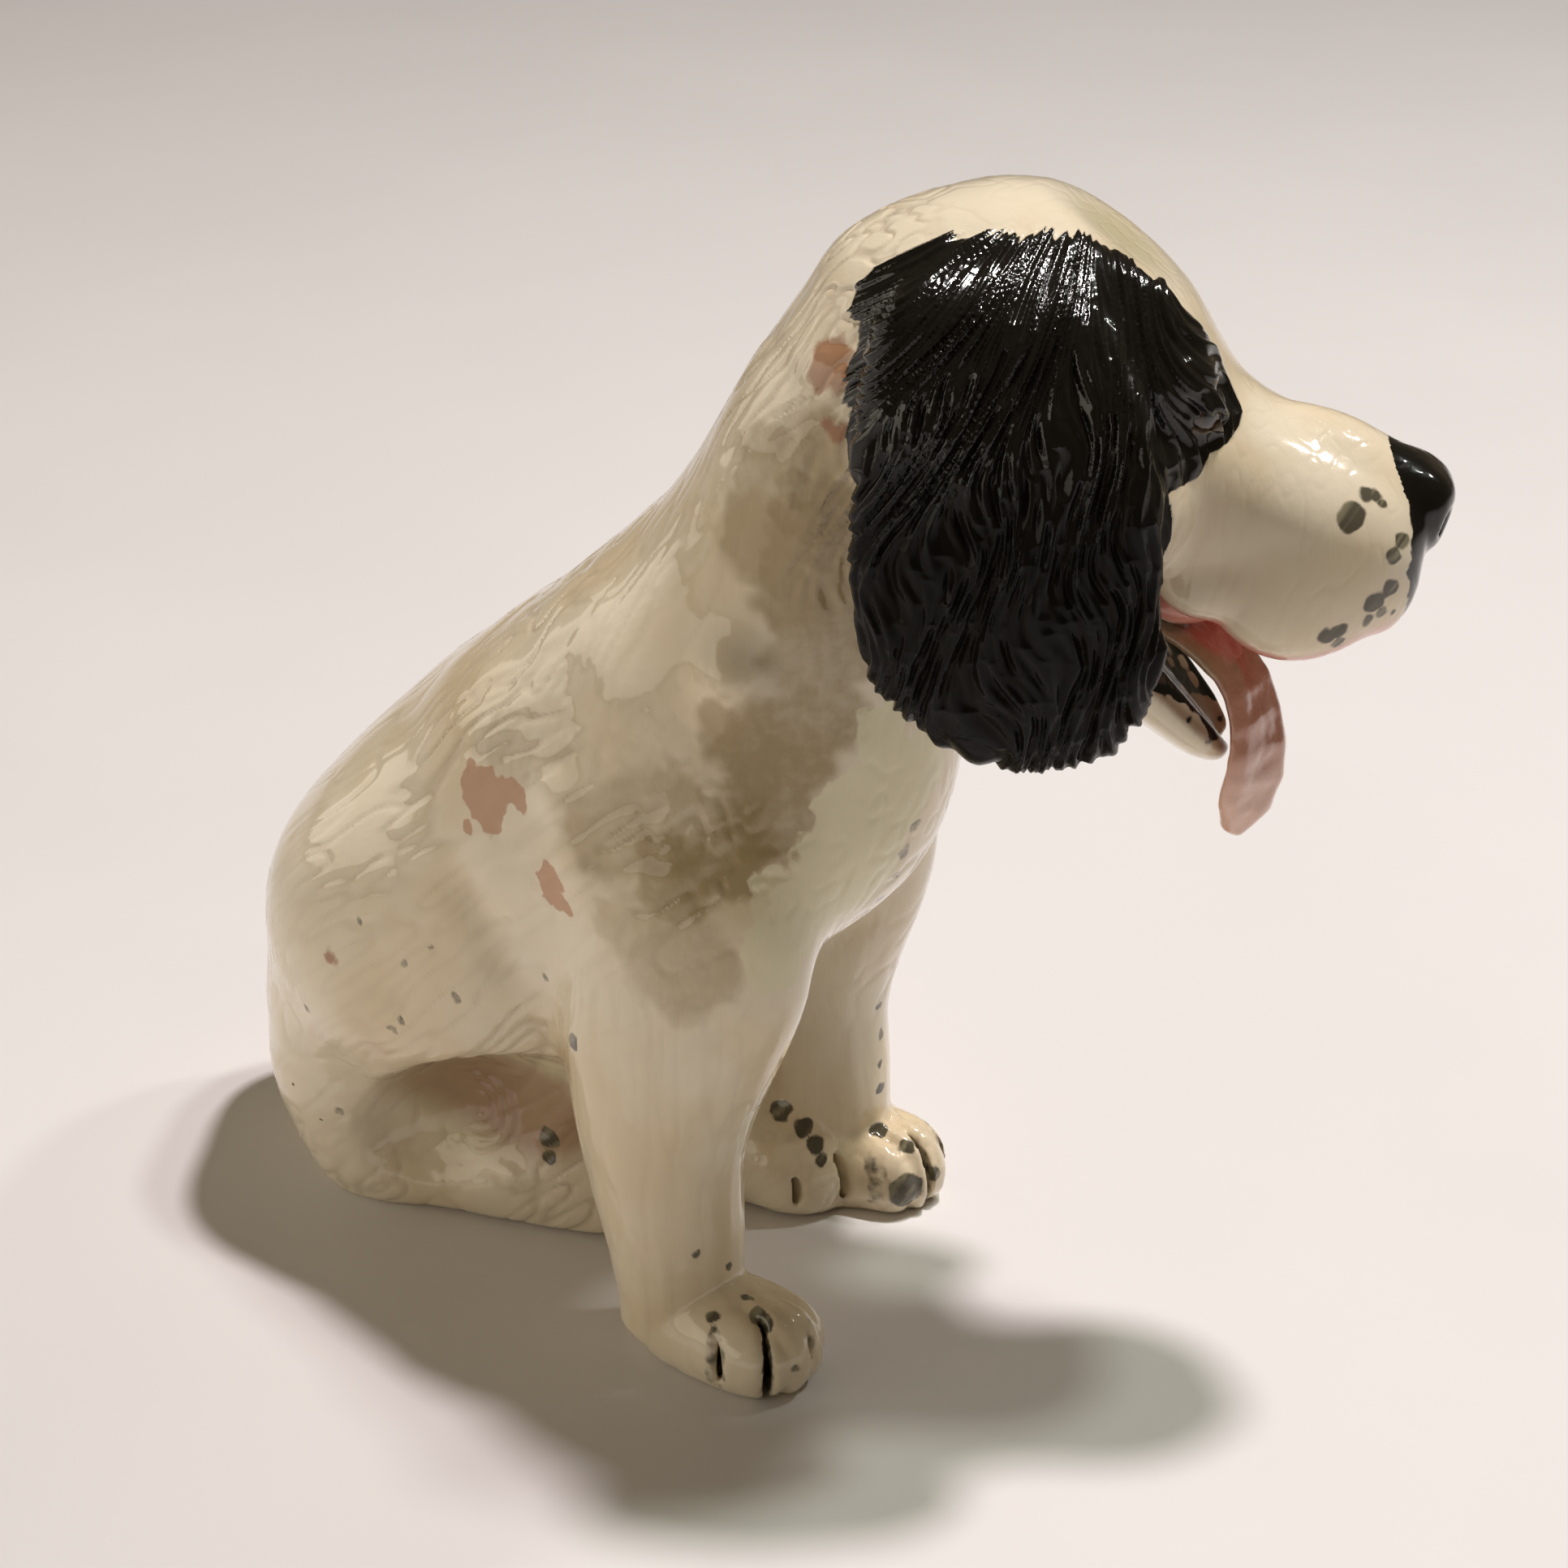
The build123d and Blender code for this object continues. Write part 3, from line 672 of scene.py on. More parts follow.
# Spots where the chest is given a greenish white: painted light from a lamp on that side
CHEST_LIGHT_SPOTS = (
    (19.0, -8.6, 60.6, 2.6), (17.7, -8.9, 53.2, 5.0), (15.8, -9.6, 47.0, 5.0), (14.7, -13.8, 44.8, 4.0),
    (19.2, -6.4, 55.5, 4.5),
    (13.9, -17.4, 42.4, 3.4), (12.6, -17.0, 47.6, 2.4), (14.6, -12.3, 49.6, 3.4), (15.0, 8.0, 50.0, 6.0),
)
RIM = (
    (-34.0, -15.5, 4.0, 6.0), (-29.0, -16.0, 4.0, 6.0), (-24.0, -15.0, 4.0, 5.5), (-19.0, -13.5, 4.0, 5.0),
    (-15.0, -11.5, 4.0, 4.5),
)
# Painted shade in the dish under the thigh: middle and size, then its stretch
DISH_PAINT = (-19.0, -13.5, 13.6, 8.5)
DISH_PAINT_STRETCH = (1.4, 0.8, 0.7)
CLEFT_PAINT = (3.4, 0.8, 3.4)
SIDE_CLEFT_PAINT = (3.0, 1.5, 3.2)
PAINTED_CLEFTS = ((-1, SIDE_CLEFT_PAINT, 0.0), (0, CLEFT_PAINT, 1.0), (1, SIDE_CLEFT_PAINT, 0.0))
UNPAINTED = -4.0
STREAK_WAY = (0.64, 0.77)
LID_DROP = 0.95
JAW_HINGE = (10.0, -14.4)
JAW_DROP = math.radians(46)
JAW_LIP = (5.0, 19.5)
JAW_LIP_RISE = 1.1
LID_LINE = 0.34
LID_LINE_HALF = 1.5


# How far inside the nearest of some round marks each point lies
def within(marks, places):
    best = np.full(len(places), UNPAINTED)
    for *centre, size in marks:
        away = np.linalg.norm(places - centre, axis=1)
        nearest = places[away.argmin()]
        best = np.maximum(best, size - np.linalg.norm(places - nearest, axis=1))
    return best


# Soft-edged patches, each with its own strength
def patches(marks, places):
    shares = [
        strength * ease(1 - np.linalg.norm(places - place, axis=1) / size, 0.0, 0.35)
        for *place, size, strength in marks
    ]
    return np.max(shares, axis=0)


rough = np.stack([noise(points / 0.8, 30), noise(points / 0.8, 31), noise(points / 1.2, 32)], 1)
torn = points + 0.9 * np.stack([noise(points / 2.2, i) for i in (33, 34, 35)], 1)
torn += 0.5 * np.stack([noise(points / 0.9, i) for i in (36, 37, 38)], 1)
body_dabs = np.minimum(within(BODY_DABS, points + 0.4 * rough), FAINT_DAB)
dabs = np.maximum(within(LEG_DABS, points + 0.3 * rough), body_dabs)
dabs = np.maximum(dabs, np.where(on_head, within(MUZZLE_DABS, head_places + 0.25 * rough), UNPAINTED))
nose_paint = np.minimum(head_x - np.interp(head_z, *NOSE_EDGE), head_z - NOSE_EDGE[0][0]) + 0.15 * rough[:, 0]
black = np.maximum(black, np.where(on_head, nose_paint, UNPAINTED))
for node in ("right_foreleg", "left_foreleg"):
    ahead, aside = in_foot(points[:, 0], points[:, 1], foot_lies[node])
    for place, radii, most in PAINTED_CLEFTS:
        in_cleft = np.minimum(-cleft(ahead, aside, points[:, 2], place, radii), most)
        dabs = np.maximum(dabs, np.where(is_piece(node), in_cleft + 0.15 * rough[:, 0], UNPAINTED))
# Painted shade under the thigh's overhang
dish_shade_paint = DISH_PAINT[3] - np.linalg.norm((points - DISH_PAINT[:3]) / DISH_PAINT_STRETCH, axis=1)
streak_along = head_x * STREAK_WAY[0] + head_z * STREAK_WAY[1]
streak_across = head_x * STREAK_WAY[1] - head_z * STREAK_WAY[0]
streak = noise(np.stack([streak_across / 0.35, streak_along / 2.4], 1), 40)
inward = -(normals @ head_across) * np.sign(head_y)
mouth_roof = ease(8.0 - np.abs(head_y), 0, 1) * ease(np.maximum(-normals[:, 2] - 0.35, inward), 0.0, 0.4)
mouth_roof *= ease(-9.0 - head_z, 0, 2) * ease(head_x, 11, 14) * on_head
in_mouth = -ellipsoid(head_x - MOUTH_PLACE[0], head_y, head_z - MOUTH_PLACE[1], MOUTH_RADII)
mouth_roof = np.maximum(mouth_roof, ease(in_mouth, -0.6, -0.3) * on_head)
on_jaw = is_piece("lower_jaw")
along_jaw = (head_x - JAW_HINGE[0]) * math.cos(JAW_DROP) - (head_z - JAW_HINGE[1]) * math.sin(JAW_DROP)
above_jaw = (head_x - JAW_HINGE[0]) * math.sin(JAW_DROP) + (head_z - JAW_HINGE[1]) * math.cos(JAW_DROP)
jaw_lip = np.minimum(above_jaw - JAW_LIP_RISE, np.minimum(along_jaw - JAW_LIP[0], JAW_LIP[1] - along_jaw))
jaw_lip += 0.8 * noise(points / 1.1, 39)
up_in_jaw = normals @ (head_forward * math.sin(JAW_DROP) + np.array([0, 0, math.cos(JAW_DROP)]))
# Painted shade on the floor of the open jaw
jaw_floor_shade = ease(up_in_jaw, 0.2, 0.6) * ease(1.6 - above_jaw, 0, 0.6) * on_jaw
black = np.where(on_jaw, np.maximum(black, jaw_lip), black)
lid = np.zeros(len(points))
for side in (-1, 1):
    ex, ey, ez = head_x - EYE_FORWARD, head_y * side - eye_spread, head_z - EYE_UP
    look = ex * math.cos(EYE_LOOK_OUT) + ey * math.sin(EYE_LOOK_OUT)
    along = ex * math.sin(EYE_LOOK_OUT) - ey * math.cos(EYE_LOOK_OUT)
    rim = LID_LINE - np.abs(ez + LID_DROP - 0.12 * along ** 2)
    lid_line = ease(np.minimum(rim, LID_LINE_HALF - np.abs(along)), 0.0, 0.15)
    lid = np.maximum(lid, lid_line * (look > 0.8) * on_head)
marks = {
    "black": black,
    "dabs": dabs,
    "rust": within(RUST, torn),
    "bare": within(BARE, torn),
    # Patches under the ears: partly wear, partly painted shade
    "wear_and_shade": patches(WEAR_AND_SHADE, torn),
    # Painted light: greenish white on the chest
    "chest_light_tint": within(CHEST_LIGHT_SPOTS, torn),
    "lid": lid,
    # Painted shade under the thigh and inside the jaw
    "dish": np.maximum(ease(dish_shade_paint, -2.0, 2.5), jaw_floor_shade),
    "pink": mouth_roof,
    "streak": ease(streak, 0.1, 0.5),
    "thin": ease(-head_z, -8, 6) * on_ear,
    "groove": groove,
    # Hollows of the soft clay, where pooled glaze and painted shade darken the white
    "hollow": ease(-bend, 0.1, 1.2) * (1 - ease(near(RIM, points), 0.0, 0.4)),
    "proud": ease(bend, 0.15, 1.0),
}


# The glaze
# Hand-painted in white, black and brown under thick clear lead glaze: very glossy, warm in broad patches,
# whiter on high places, greenish with pooled glaze and painted shade in hollows, dull where flaked off.
WHITE = (0.80, 0.71, 0.545, 1)
WHITE_THIN = (0.75, 0.62, 0.42, 1)
# Greenish darker white for the hollows: pooled glaze and painted shade
WHITE_POOLED_SHADE = (0.60, 0.53, 0.31, 1)
# Greenish white of painted light on the chest
CHEST_LIGHT_TINT = (0.76, 0.70, 0.47, 1)
BLACK = (0.005, 0.0045, 0.004, 1)
BLACK_WORN = (0.030, 0.022, 0.015, 1)
DAB = (0.045, 0.04, 0.024, 1)
DAB_STREAK = (0.20, 0.18, 0.11, 1)
RUST_BROWN = (0.34, 0.13, 0.045, 1)
CLAY = (0.54, 0.32, 0.21, 1)
# Brown for the patches under the ears: partly worn glaze, partly painted shade
WEAR_AND_SHADE_BROWN = (0.33, 0.235, 0.10, 1)
# Brown of painted shade under the thigh and inside the jaw
DISH_SHADE_BROWN = (0.31, 0.17, 0.09, 1)
# Darker brown laid into the carved strokes
GROOVE_BROWN = (0.30, 0.20, 0.11, 1)
MOUTH_PINK = (0.62, 0.24, 0.18, 1)
LID_PALE = (0.16, 0.11, 0.07, 1)


class Tone:
    """A value on its way through a finish; sums and products of tones add Math nodes."""

    def __init__(self, tree, socket=None):
        self.tree = tree
        self.socket = socket

    def add(self, kind, settings=None, inputs=None, output=0):
        node = self.tree.nodes.new("ShaderNode" + kind)
        for name, value in (settings or {}).items():
            setattr(node, name, value)
        for name, value in (inputs or {}).items():
            if isinstance(value, Tone):
                self.tree.links.new(value.socket, node.inputs[name])
            else:
                node.inputs[name].default_value = value
        return Tone(self.tree, node.outputs[output] if node.outputs else None)

    def sum(self, operation, first, second):
        return self.add("Math", {"operation": operation}, {0: first, 1: second})

    def __add__(self, other):
        return self.sum("ADD", self, other)

    __radd__ = __add__

    def __sub__(self, other):
        return self.sum("SUBTRACT", self, other)

    def __rsub__(self, other):
        return self.sum("SUBTRACT", other, self)

    def __mul__(self, other):
        return self.sum("MULTIPLY", self, other)

    __rmul__ = __mul__

    def ease(self, start, end):
        inputs = {"Value": self, "From Min": start, "From Max": end}
        return self.add("MapRange", {"interpolation_type": "SMOOTHSTEP"}, inputs)

    def over(self, under, top):
        return self.add("Mix", {"data_type": "RGBA"}, {0: self, 6: under, 7: top}, 2)

    def mark(self, name):
        return self.add("Attribute", {"attribute_name": name}, None, "Fac")

    def cloud(self, size, detail=3.0, stretch=(1, 1, 1)):
        place = self.add("TexCoord", None, None, "Object")
        place = self.add("VectorMath", {"operation": "MULTIPLY"}, {0: place, 1: stretch})
        return self.add("TexNoise", None, {"Vector": place, "Scale": 1 / (size * MM), "Detail": detail})


def new_finish(name):
    finish = bpy.data.materials.new(name)
    finish.use_nodes = True
    finish.node_tree.nodes.clear()
    return finish, Tone(finish.node_tree)


def close_finish(tone, settings):
    surface = tone.add("BsdfPrincipled", None, settings)
    tone.add("OutputMaterial", None, {"Surface": surface})


def painted_glaze(name):
    finish, tone = new_finish(name)
    fine_cloud = tone.cloud(1.1, 4)
    broad_cloud = tone.cloud(14.0, 4)
    brushed = tone.cloud(0.5, 3, (1, 1, 0.2))
    ragged = fine_cloud - 0.5
    colour = broad_cloud.ease(0.36, 0.66).over(WHITE, WHITE_THIN)
    # Painted shade and pooled glaze darken the white in the hollows
    colour = (tone.mark("hollow") * 0.75).over(colour, WHITE_POOLED_SHADE)
    colour = (tone.mark("proud") * 0.35).over(colour, WHITE)
    # Darker brown in the carved grooves
    colour = (tone.mark("groove") * (0.12 + 0.3 * broad_cloud)).over(colour, GROOVE_BROWN)
    # Brown patches on neck and shoulders: partly wear, partly painted shade of the ears
    wear_and_shade = tone.mark("wear_and_shade") * (0.6 + 0.4 * (broad_cloud + 0.35 * ragged).ease(0.3, 0.6))
    colour = (wear_and_shade * 0.92).over(colour, WEAR_AND_SHADE_BROWN)
    # Painted light: a greenish white tint on the chest
    chest_light_tint = (tone.mark("chest_light_tint") + 1.6 * ragged).ease(-0.2, 0.25)
    colour = (chest_light_tint * 0.85).over(colour, CHEST_LIGHT_TINT)
    # Painted shade: brown under the thigh and on the jaw floor
    colour = (tone.mark("dish") * (0.55 + 0.5 * broad_cloud)).over(colour, DISH_SHADE_BROWN)
    bare = (tone.mark("bare") + 1.4 * ragged).ease(-0.12, 0.12)
    colour = (bare * 0.85).over(colour, CLAY)
    rust = (tone.mark("rust") + 2.0 * ragged).ease(-0.4, 0.5)
    colour = (rust * 0.8).over(colour, RUST_BROWN)
    colour = (tone.mark("pink") * 0.95).over(colour, MOUTH_PINK)
    dab = (tone.mark("dabs") + 0.5 * ragged).ease(-0.12, 0.16)
    dab_colour = tone.mark("streak").over(DAB, DAB_STREAK)
    colour = (dab * 0.93).over(colour, dab_colour)
    black = (tone.mark("black") + 0.7 * ragged).ease(-0.08, 0.12)
    black_colour = (tone.mark("groove") * 0.6 * brushed).over(BLACK, BLACK_WORN)
    colour = black.over(colour, black_colour)
    colour = (tone.mark("lid") * 0.9).over(colour, LID_PALE)
    rough = 0.16 + 0.12 * broad_cloud + 0.22 * bare + 0.08 * wear_and_shade
    hair = tone.cloud(0.28, 3, (1, 1, 0.12)) * 0.6 + tone.cloud(2.4, 2) * 1.2
    bump = tone.add("Bump", None, {"Strength": 0.25, "Distance": 0.12 * MM, "Height": hair - 0.4 * bare})
    dulled = black * (0.1 + 0.3 * tone.mark("groove") + 0.66 * tone.mark("thin"))
    close_finish(tone, {
        "Base Color": colour,
        "Roughness": rough,
        "Normal": bump,
        "Coat Weight": (1.0 - 0.7 * bare - dulled).ease(0, 1),
        "Coat Roughness": 0.08,
        "Coat IOR": 1.5,
        "Specular IOR Level": 0.08,
    })
    return finish


glaze = painted_glaze("painted_glaze")


# The pieces of the body
# Torso, legs, thighs, feet, tail, head, jaw, ears and nose part where they were luted; each is closed
# across its joint, and its edge keeps the slope of the whole so that no joint line shows in the glaze.
CLOSING_DEPTH = 0.7
CLOSING_SLOPE = 0.4


# Edges that only one face uses
def boundary(faces):
    ends = []
    for corner in range(8):
        used = faces[:, corner] >= 0
        later = np.full(len(faces), NEVER)
        for step in range(8, 0, -1):
            candidate = faces[:, (corner + step) % 8]
            later = np.where(candidate >= 0, candidate, later)
        ends.append(np.stack([faces[used, corner], later[used]], 1))
    ends = np.concatenate(ends)
    span = ends.max() + 1
    forward = ends[:, 0] * span + ends[:, 1]
    return ends[~np.isin(forward, ends[:, 1] * span + ends[:, 0])]


def shown(name, points, normals, corners, starts, marks, finish):
    mesh = bpy.data.meshes.new(name)
    mesh.vertices.add(len(points))
    mesh.vertices.foreach_set("co", (points * MM).astype(np.float32).ravel())
    mesh.loops.add(len(corners))
    mesh.loops.foreach_set("vertex_index", corners.astype(np.int32))
    mesh.polygons.add(len(starts))
    mesh.polygons.foreach_set("loop_start", starts.astype(np.int32))
    mesh.update(calc_edges=True)
    mesh.polygons.foreach_set("use_smooth", np.ones(len(starts), bool))
    mesh.normals_split_custom_set_from_vertices(normals.astype(np.float32))
    for mark, values in marks.items():
        layer = mesh.attributes.new(mark, "FLOAT", "POINT")
        layer.data.foreach_set("value", values.astype(np.float32))
    mesh.materials.append(finish)
    piece = bpy.data.objects.new(name, mesh)
    bpy.context.scene.collection.objects.link(piece)
    return piece


# Which parts of a joint's rim can be closed to a point without leaving the clay
def buried(rim, point):
    away = np.linalg.norm(point - rim, axis=1)
    hidden = np.ones(len(rim), bool)
    for share in np.linspace(0.04, 0.96, 24):
        depth = depth_at(start, clay, rim + (point - rim) * share)
        hidden &= depth < -np.minimum(CLOSING_DEPTH, CLOSING_SLOPE * share * away)
    return hidden


# Point inside the clay that most of a joint's rim can be closed to
def hidden_point(rim, heart):
    tried = []
    for share in (0.0, 0.25, 0.5, 0.75, 1.0):
        point = rim.mean(0) * (1 - share) + heart * share
        tried.append((-np.mean(buried(rim, point)), share, point))
    return min(tried, key=lambda trial: trial[:2])[2]


def parted(node, name, slot):
    mine = faces[owner[faces[:, 0]] == names.index(node)]
    heart = middle_of(node)
    rim = boundary(mine)
    group = unlinked_groups(len(points), rim)
    caps = []
    cap_points = []
    for loop in np.unique(group[rim[:, 0]]):
        part = rim[group[rim[:, 0]] == loop]
        apex = hidden_point(points[part[:, 0]], heart)
        part = part[buried(points[part].mean(1), apex)]
        caps.append(np.stack([part[:, 1], part[:, 0], np.full(len(part), len(points) + len(cap_points))], 1))
        cap_points.append(apex)
    cap_count = len(cap_points)
    all_points = np.concatenate([points, np.array(cap_points).reshape(-1, 3)])
    all_normals = np.concatenate([normals, np.tile((0.0, 0.0, 1.0), (cap_count, 1))])
    padded = np.full((sum(map(len, caps)), 8), NEVER)
    if caps:
        padded[:, :3] = np.concatenate(caps)
    every = np.concatenate([mine, padded])
    used = every >= 0
    starts = np.concatenate([[0], np.cumsum(used.sum(1))[:-1]])
    kept, corners = np.unique(every[used], return_inverse=True)
    piece_marks = {m: np.concatenate([v, np.full(cap_count, v.min())])[kept] for m, v in marks.items()}
    piece = shown(name, all_points[kept], all_normals[kept], corners, starts, piece_marks, glaze)
    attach(piece, "root")
    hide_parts(node)


PIECES = {
    "torso": "glazed_torso",
    "right_foreleg": "glazed_right_foreleg",
    "left_foreleg": "glazed_left_foreleg",
    "right_haunch": "glazed_right_haunch",
    "left_haunch": "glazed_left_haunch",
    "right_hind_foot": "glazed_right_hind_foot",
    "left_hind_foot": "glazed_left_hind_foot",
    "tail": "glazed_tail",
    "head": "glazed_head",
    "lower_jaw": "glazed_lower_jaw",
    "right_ear": "carved_right_ear",
    "left_ear": "carved_left_ear",
    "nose": "glazed_nose",
}
BLACK_PIECES = ("right_ear", "left_ear", "nose")
for node, name in PIECES.items():
    parted(node, name, "black_glaze" if node in BLACK_PIECES else "cream_glaze")


# Tongue
# A thin ribbon of clay laid along the jaw and curled over its edge, painted a flesh pink, paler on
# the curl, where painted light falls on the turned tip.
TONGUE_GRAIN = 0.2
TONGUE_RUB = 0.3
TONGUE_ROOM = 2
TONGUE_SWELL = 0.35
TONGUE_DENTS = ((2.5, 0.10), (0.9, 0.05))
TONGUE_RED = (0.56, 0.13, 0.085, 1)
TONGUE_PINK = (0.60, 0.29, 0.20, 1)
TONGUE_LIT_PALE = (0.78, 0.50, 0.39, 1)
TONGUE_BROWN = (0.44, 0.29, 0.16, 1)
TONGUE_LIE = ((12.0, 19.0, 25.0, 27.0), (-13.6, -18.2, -22.4, -26.0))


def tongue_skin():
    points, triangles = skin("tongue")
    low = points.min(0) - TONGUE_ROOM
    spots = ((points - low) / TONGUE_GRAIN).astype(np.float32)
    width = TONGUE_ROOM / TONGUE_GRAIN
    shell = openvdb.FloatGrid.createLevelSetFromPolygons(
        spots, triangles=triangles, transform=openvdb.createLinearTransform(1.0), halfWidth=width
    )
    field = np.empty(tuple(np.ceil(spots.max(0) + width).astype(int) + 1), np.float32)
    shell.copyToArray(field, ijk=(0, 0, 0))
    field = rubbed(field, TONGUE_RUB / TONGUE_GRAIN * GRAIN) - TONGUE_SWELL
    shell = openvdb.FloatGrid(width)
    shell.copyFromArray(field, ijk=(0, 0, 0))
    points, quads = shell.convertToQuads(0.0)
    return points.astype(np.float64) * TONGUE_GRAIN + low, quads.astype(np.int64)


tongue_points, tongue_quads = tongue_skin()
tongue_faces = np.full((len(tongue_quads), 8), NEVER)
tongue_faces[:, :4] = tongue_quads
tongue_normals = facing(tongue_points, tongue_faces)
dents = sum(size * noise(tongue_points / spread, 60 + i) for i, (spread, size) in enumerate(TONGUE_DENTS))
tongue_points = tongue_points + tongue_normals * dents[:, None]
tongue_normals = facing(tongue_points, tongue_faces)

tongue_x, tongue_y, tongue_z = in_head(*tongue_points.T)
tongue_marks = {
    "root": ease(tongue_z - np.interp(tongue_x, *TONGUE_LIE), 0.5, 1.1) * ease(-tongue_x, -27, -25),
    # The curled tip, painted paler as light falls on it
    "tip": ease(-tongue_z, 27, 33),
    "near_side": ease(tongue_z, -23.5, -21.0),
}
tongue_finish, tone = new_finish("tongue_glaze")
broad = tone.cloud(5.0, 3)
fine_grain = tone.cloud(0.6, 4)
# Painted light: the curled tip paler where it faces the light
colour = (tone.mark("tip") * 0.9 + 0.5 * (broad - 0.5)).over(TONGUE_PINK, TONGUE_LIT_PALE)
colour = (tone.mark("near_side") * (0.5 + broad)).over(colour, TONGUE_BROWN)
colour = (tone.mark("root") * 0.9).over(colour, TONGUE_RED)
colour = (fine_grain.ease(0.55, 0.75) * 0.25).over(colour, TONGUE_RED)
bump = tone.add("Bump", None, {"Strength": 0.3, "Distance": 0.1 * MM, "Height": fine_grain})
close_finish(tone, {
    "Base Color": colour, "Roughness": 0.2 + 0.15 * fine_grain, "Normal": bump, "Coat Weight": 1.0,
    "Coat Roughness": 0.08,
})
tongue = shown(
    "glazed_tongue", tongue_points, tongue_normals, tongue_quads.ravel(),
    4 * np.arange(len(tongue_quads)), tongue_marks, tongue_finish,
)
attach(tongue, "root")
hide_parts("tongue")


# Eyes
# Small balls of clay set under the lids, painted dark brown with a black pupil and glazed over.
EYE_RINGS = 40
CORNEA_RISE = 0.12
IRIS_BROWN = (0.085, 0.035, 0.012, 1)
IRIS_DARK = (0.025, 0.011, 0.006, 1)
PUPIL = (0.004, 0.004, 0.004, 1)
EYE_WHITE = (0.12, 0.07, 0.04, 1)


def eye_finish(name, place, look):
    finish, tone = new_finish(name)
    spot = tone.add("TexCoord", None, None, "Object")
    spot = tone.add("VectorMath", {"operation": "SUBTRACT"}, {0: spot, 1: tuple(place * MM)})
    spot = tone.add("VectorMath", {"operation": "NORMALIZE"}, {0: spot})
    front = tone.add("VectorMath", {"operation": "DOT_PRODUCT"}, {0: spot, 1: tuple(look)}, "Value")
    fibre = tone.cloud(0.3, 4)
    iris = fibre.ease(0.35, 0.65).over(IRIS_DARK, IRIS_BROWN)
    colour = (front + 0.05 * fibre).ease(0.66, 0.72).over(EYE_WHITE, iris)
    colour = front.ease(0.93, 0.95).over(colour, PUPIL)
    bump = tone.add("Bump", None, {"Strength": 0.1, "Distance": 0.05 * MM, "Height": fibre})
    close_finish(tone, {
        "Base Color": colour, "Roughness": 0.1 + 0.08 * fibre, "Normal": bump, "Coat Weight": 1.0,
        "Coat Roughness": 0.03,
    })
    return finish


for node, place, side in (("right_eye", right_eye, -1), ("left_eye", left_eye, 1)):
    look = head_forward * math.cos(EYE_LOOK_OUT) + side * head_across * math.sin(EYE_LOOK_OUT)
    low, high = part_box(node)
    radius = (high[2] - low[2]) / 2 / MM
    turn = np.linspace(0, 2 * math.pi, EYE_RINGS, endpoint=False)
    tilt = np.linspace(0, math.pi, EYE_RINGS // 2 + 1)[1:-1]
    ring_x = np.outer(np.sin(tilt), np.cos(turn)).ravel()
    ring_y = np.outer(np.sin(tilt), np.sin(turn)).ravel()
    ring_z = np.repeat(np.cos(tilt), EYE_RINGS)
    directions = np.concatenate([np.stack([ring_x, ring_y, ring_z], 1), [(0, 0, 1), (0, 0, -1)]])
    upright = np.array([0, 0, 1.0])
    beside = np.cross(upright, look)
    directions = directions @ np.stack([beside, upright, look])
    cornea = CORNEA_RISE * ease(directions @ look, 0.6, 0.95)
    ball = place + directions * (radius + cornea)[:, None]
    index = np.arange(len(ring_x)).reshape(-1, EYE_RINGS)
    following = np.roll(index, -1, axis=1)
    quads = np.stack([index[:-1], index[1:], following[1:], following[:-1]], -1).reshape(-1, 4)
    top = np.stack([np.full(EYE_RINGS, len(ring_x)), index[0], following[0]], 1)
    bottom = np.stack([np.full(EYE_RINGS, len(ring_x) + 1), following[-1], index[-1]], 1)
    corners = np.concatenate([quads.ravel(), top.ravel(), bottom.ravel()])
    starts = np.concatenate([4 * np.arange(len(quads)), quads.size + 3 * np.arange(2 * EYE_RINGS)])
    finish = eye_finish(f"{node}_glaze", place, look)
    eye = shown(f"glazed_{node}", ball, directions, corners, starts, {}, finish)
    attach(eye, "root")
    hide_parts(node)


# Table top, lamps and camera
# A plain pale table under two lamps nearly overhead, with a small lamp farther back and a wide low
# panel at the dog's rear filling the shadows; the camera looks down on the dog's right shoulder.
TABLE_HALF = 2.5
TABLE_PALE = (0.82, 0.80, 0.80, 1)
TABLE_SHADE = (0.80, 0.78, 0.78, 1)
ROOM = (0.66, 0.52, 0.32, 1)
ROOM_LEVEL = 0.13
LAMP_FROM = (0.13, 0.22, 0.97)
LAMP_AWAY = 0.75
LAMP_SIZE = 0.06
LAMP_POWER = 4.2
SECOND_FROM = (0.26, 0.24, 0.93)
SECOND_POWER = 1.4
BACK_FROM = (0.39, 0.49, 0.79)
BACK_SIZE = 0.06
BACK_POWER = 0.8
FILL_FROM = (-0.72, -0.66, 0.22)
FILL_AWAY = 0.85
FILL_WIDTH = 1.6
FILL_HEIGHT = 0.4
FILL_POWER = 3.0
CAMERA_PLACE = (149.65, -217.93, 180.0)
CAMERA_TILT = 63.3
CAMERA_TURN = 34.0
CAMERA_LENS = 78.71
AIM = Vector((0.0, 0.0, 0.05))

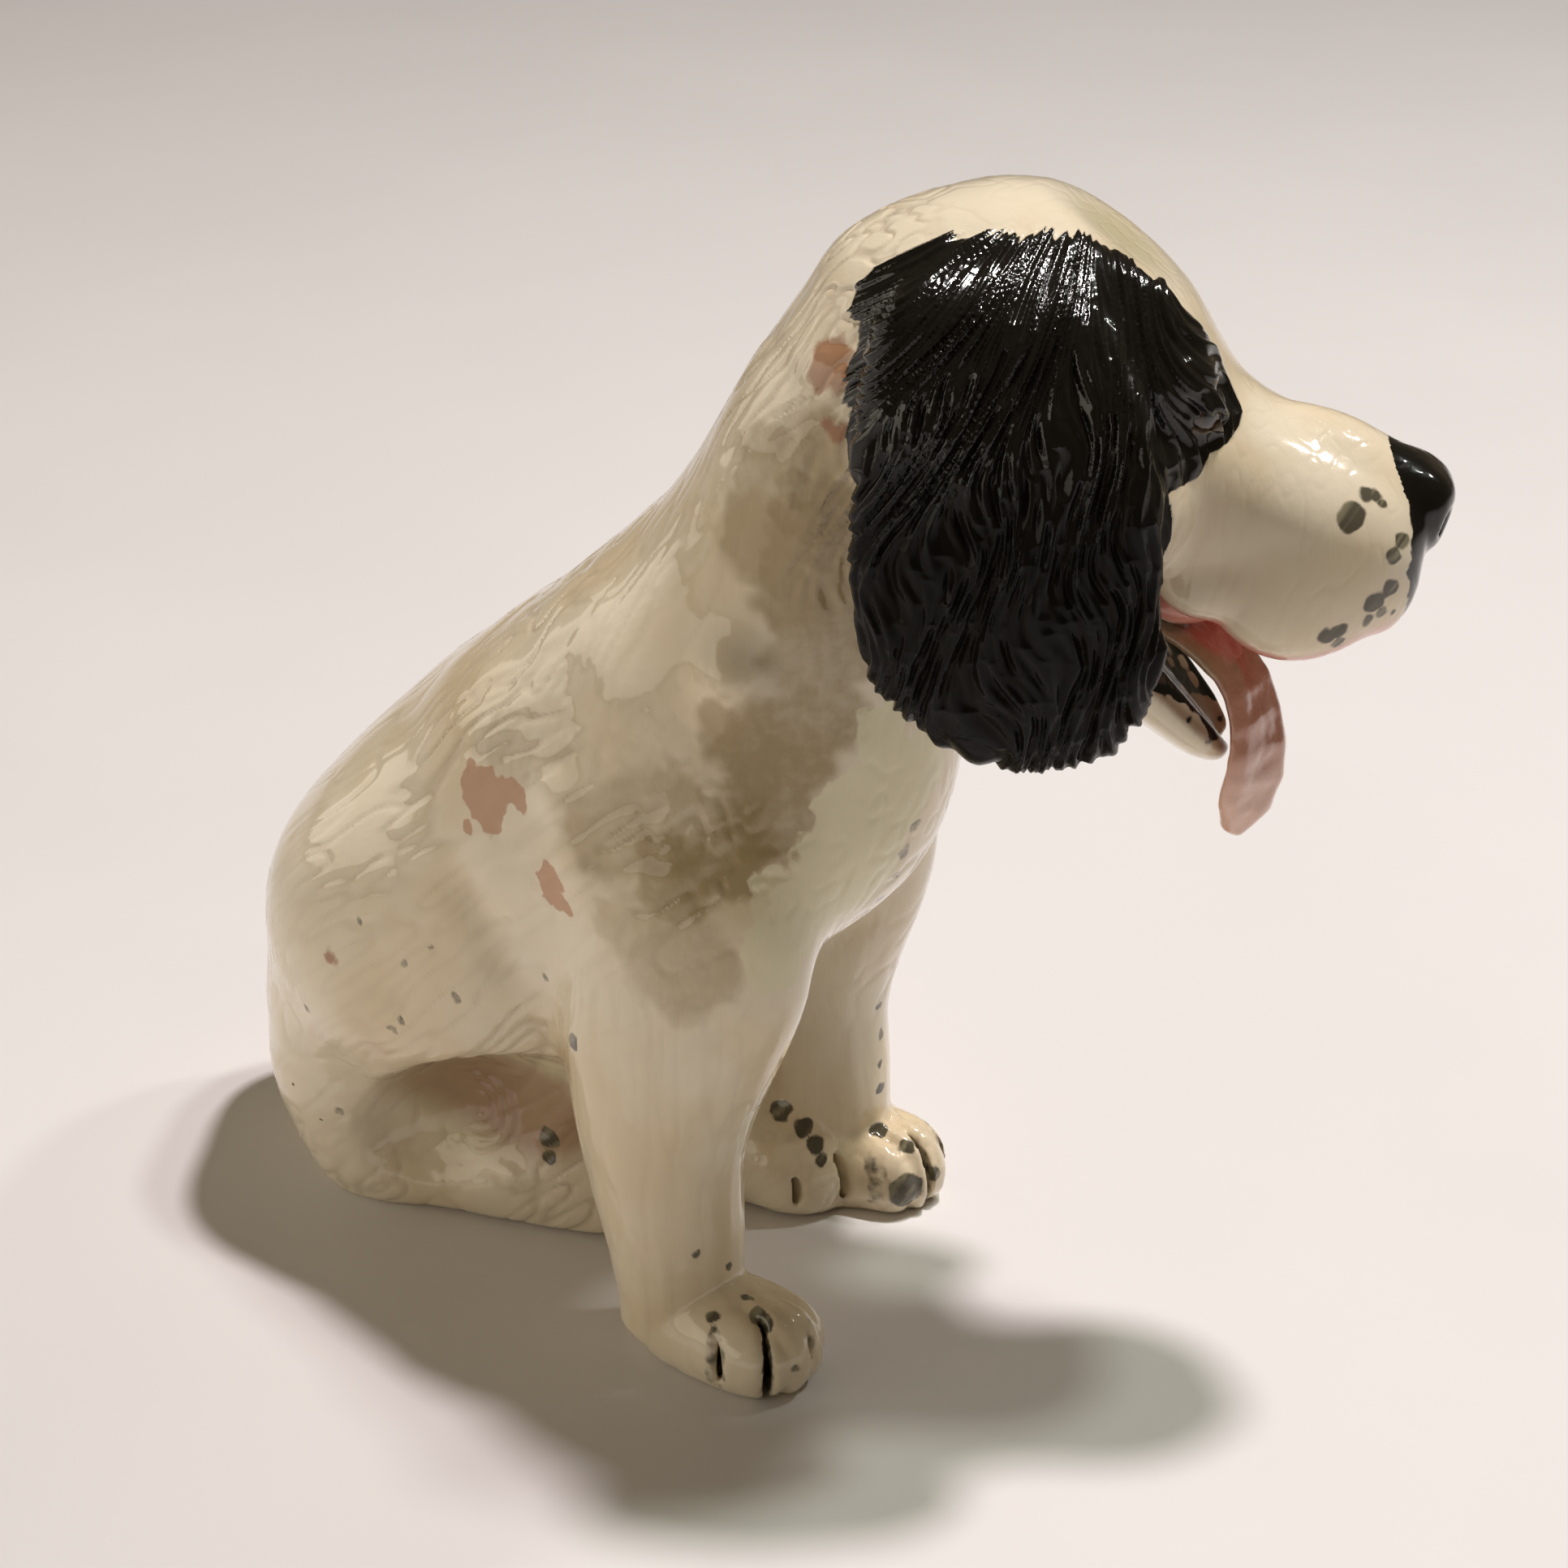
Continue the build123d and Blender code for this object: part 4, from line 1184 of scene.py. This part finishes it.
table_finish, tone = new_finish("pale_table")
grain = tone.cloud(60.0, 3)
close_finish(tone, {"Base Color": grain.ease(0.3, 0.7).over(TABLE_PALE, TABLE_SHADE), "Roughness": 0.55})
table_mesh = bpy.data.meshes.new("table_top")
table_corners = [(x * TABLE_HALF, y * TABLE_HALF, 0) for x, y in ((-1, -1), (1, -1), (1, 1), (-1, 1))]
table_mesh.from_pydata(table_corners, [], [(0, 1, 2, 3)])
table_mesh.materials.append(table_finish)
table = bpy.data.objects.new("table_top", table_mesh)
bpy.context.scene.collection.objects.link(table)
table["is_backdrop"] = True


def lamp(name, way, away, size, power, colour, height=None):
    light = bpy.data.lights.new(name, "AREA")
    light.shape = "RECTANGLE" if height else "DISK"
    light.size = size
    light.size_y = height or size
    light.energy = power
    light.color = colour
    holder = bpy.data.objects.new(name, light)
    direction = Vector(way).normalized()
    holder.location = AIM + direction * away
    holder.rotation_mode = "QUATERNION"
    holder.rotation_quaternion = direction.to_track_quat("Z", "Y")
    bpy.context.scene.collection.objects.link(holder)


lamp("overhead_lamp", LAMP_FROM, LAMP_AWAY, LAMP_SIZE, LAMP_POWER, (1.0, 0.90, 0.92))
lamp("second_lamp", SECOND_FROM, LAMP_AWAY, LAMP_SIZE, SECOND_POWER, (0.90, 1.0, 0.86))
lamp("back_lamp", BACK_FROM, LAMP_AWAY, BACK_SIZE, BACK_POWER, (1.0, 1.0, 0.96))
lamp("fill_panel", FILL_FROM, FILL_AWAY, FILL_WIDTH, FILL_POWER, (1.0, 0.92, 0.78), FILL_HEIGHT)

room = bpy.data.worlds.new("room")
room.use_nodes = True
room.node_tree.nodes["Background"].inputs["Color"].default_value = ROOM
room.node_tree.nodes["Background"].inputs["Strength"].default_value = ROOM_LEVEL
bpy.context.scene.world = room
bpy.context.scene.view_settings.view_transform = "Standard"

camera_data = bpy.data.cameras.new("camera")
camera_data.lens = CAMERA_LENS
camera_data.clip_start = 0.01
camera = bpy.data.objects.new("camera", camera_data)
camera.location = Vector(CAMERA_PLACE) * MM
camera.rotation_euler = (math.radians(CAMERA_TILT), 0, math.radians(CAMERA_TURN))
bpy.context.scene.collection.objects.link(camera)
bpy.context.scene.camera = camera

low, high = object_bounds()
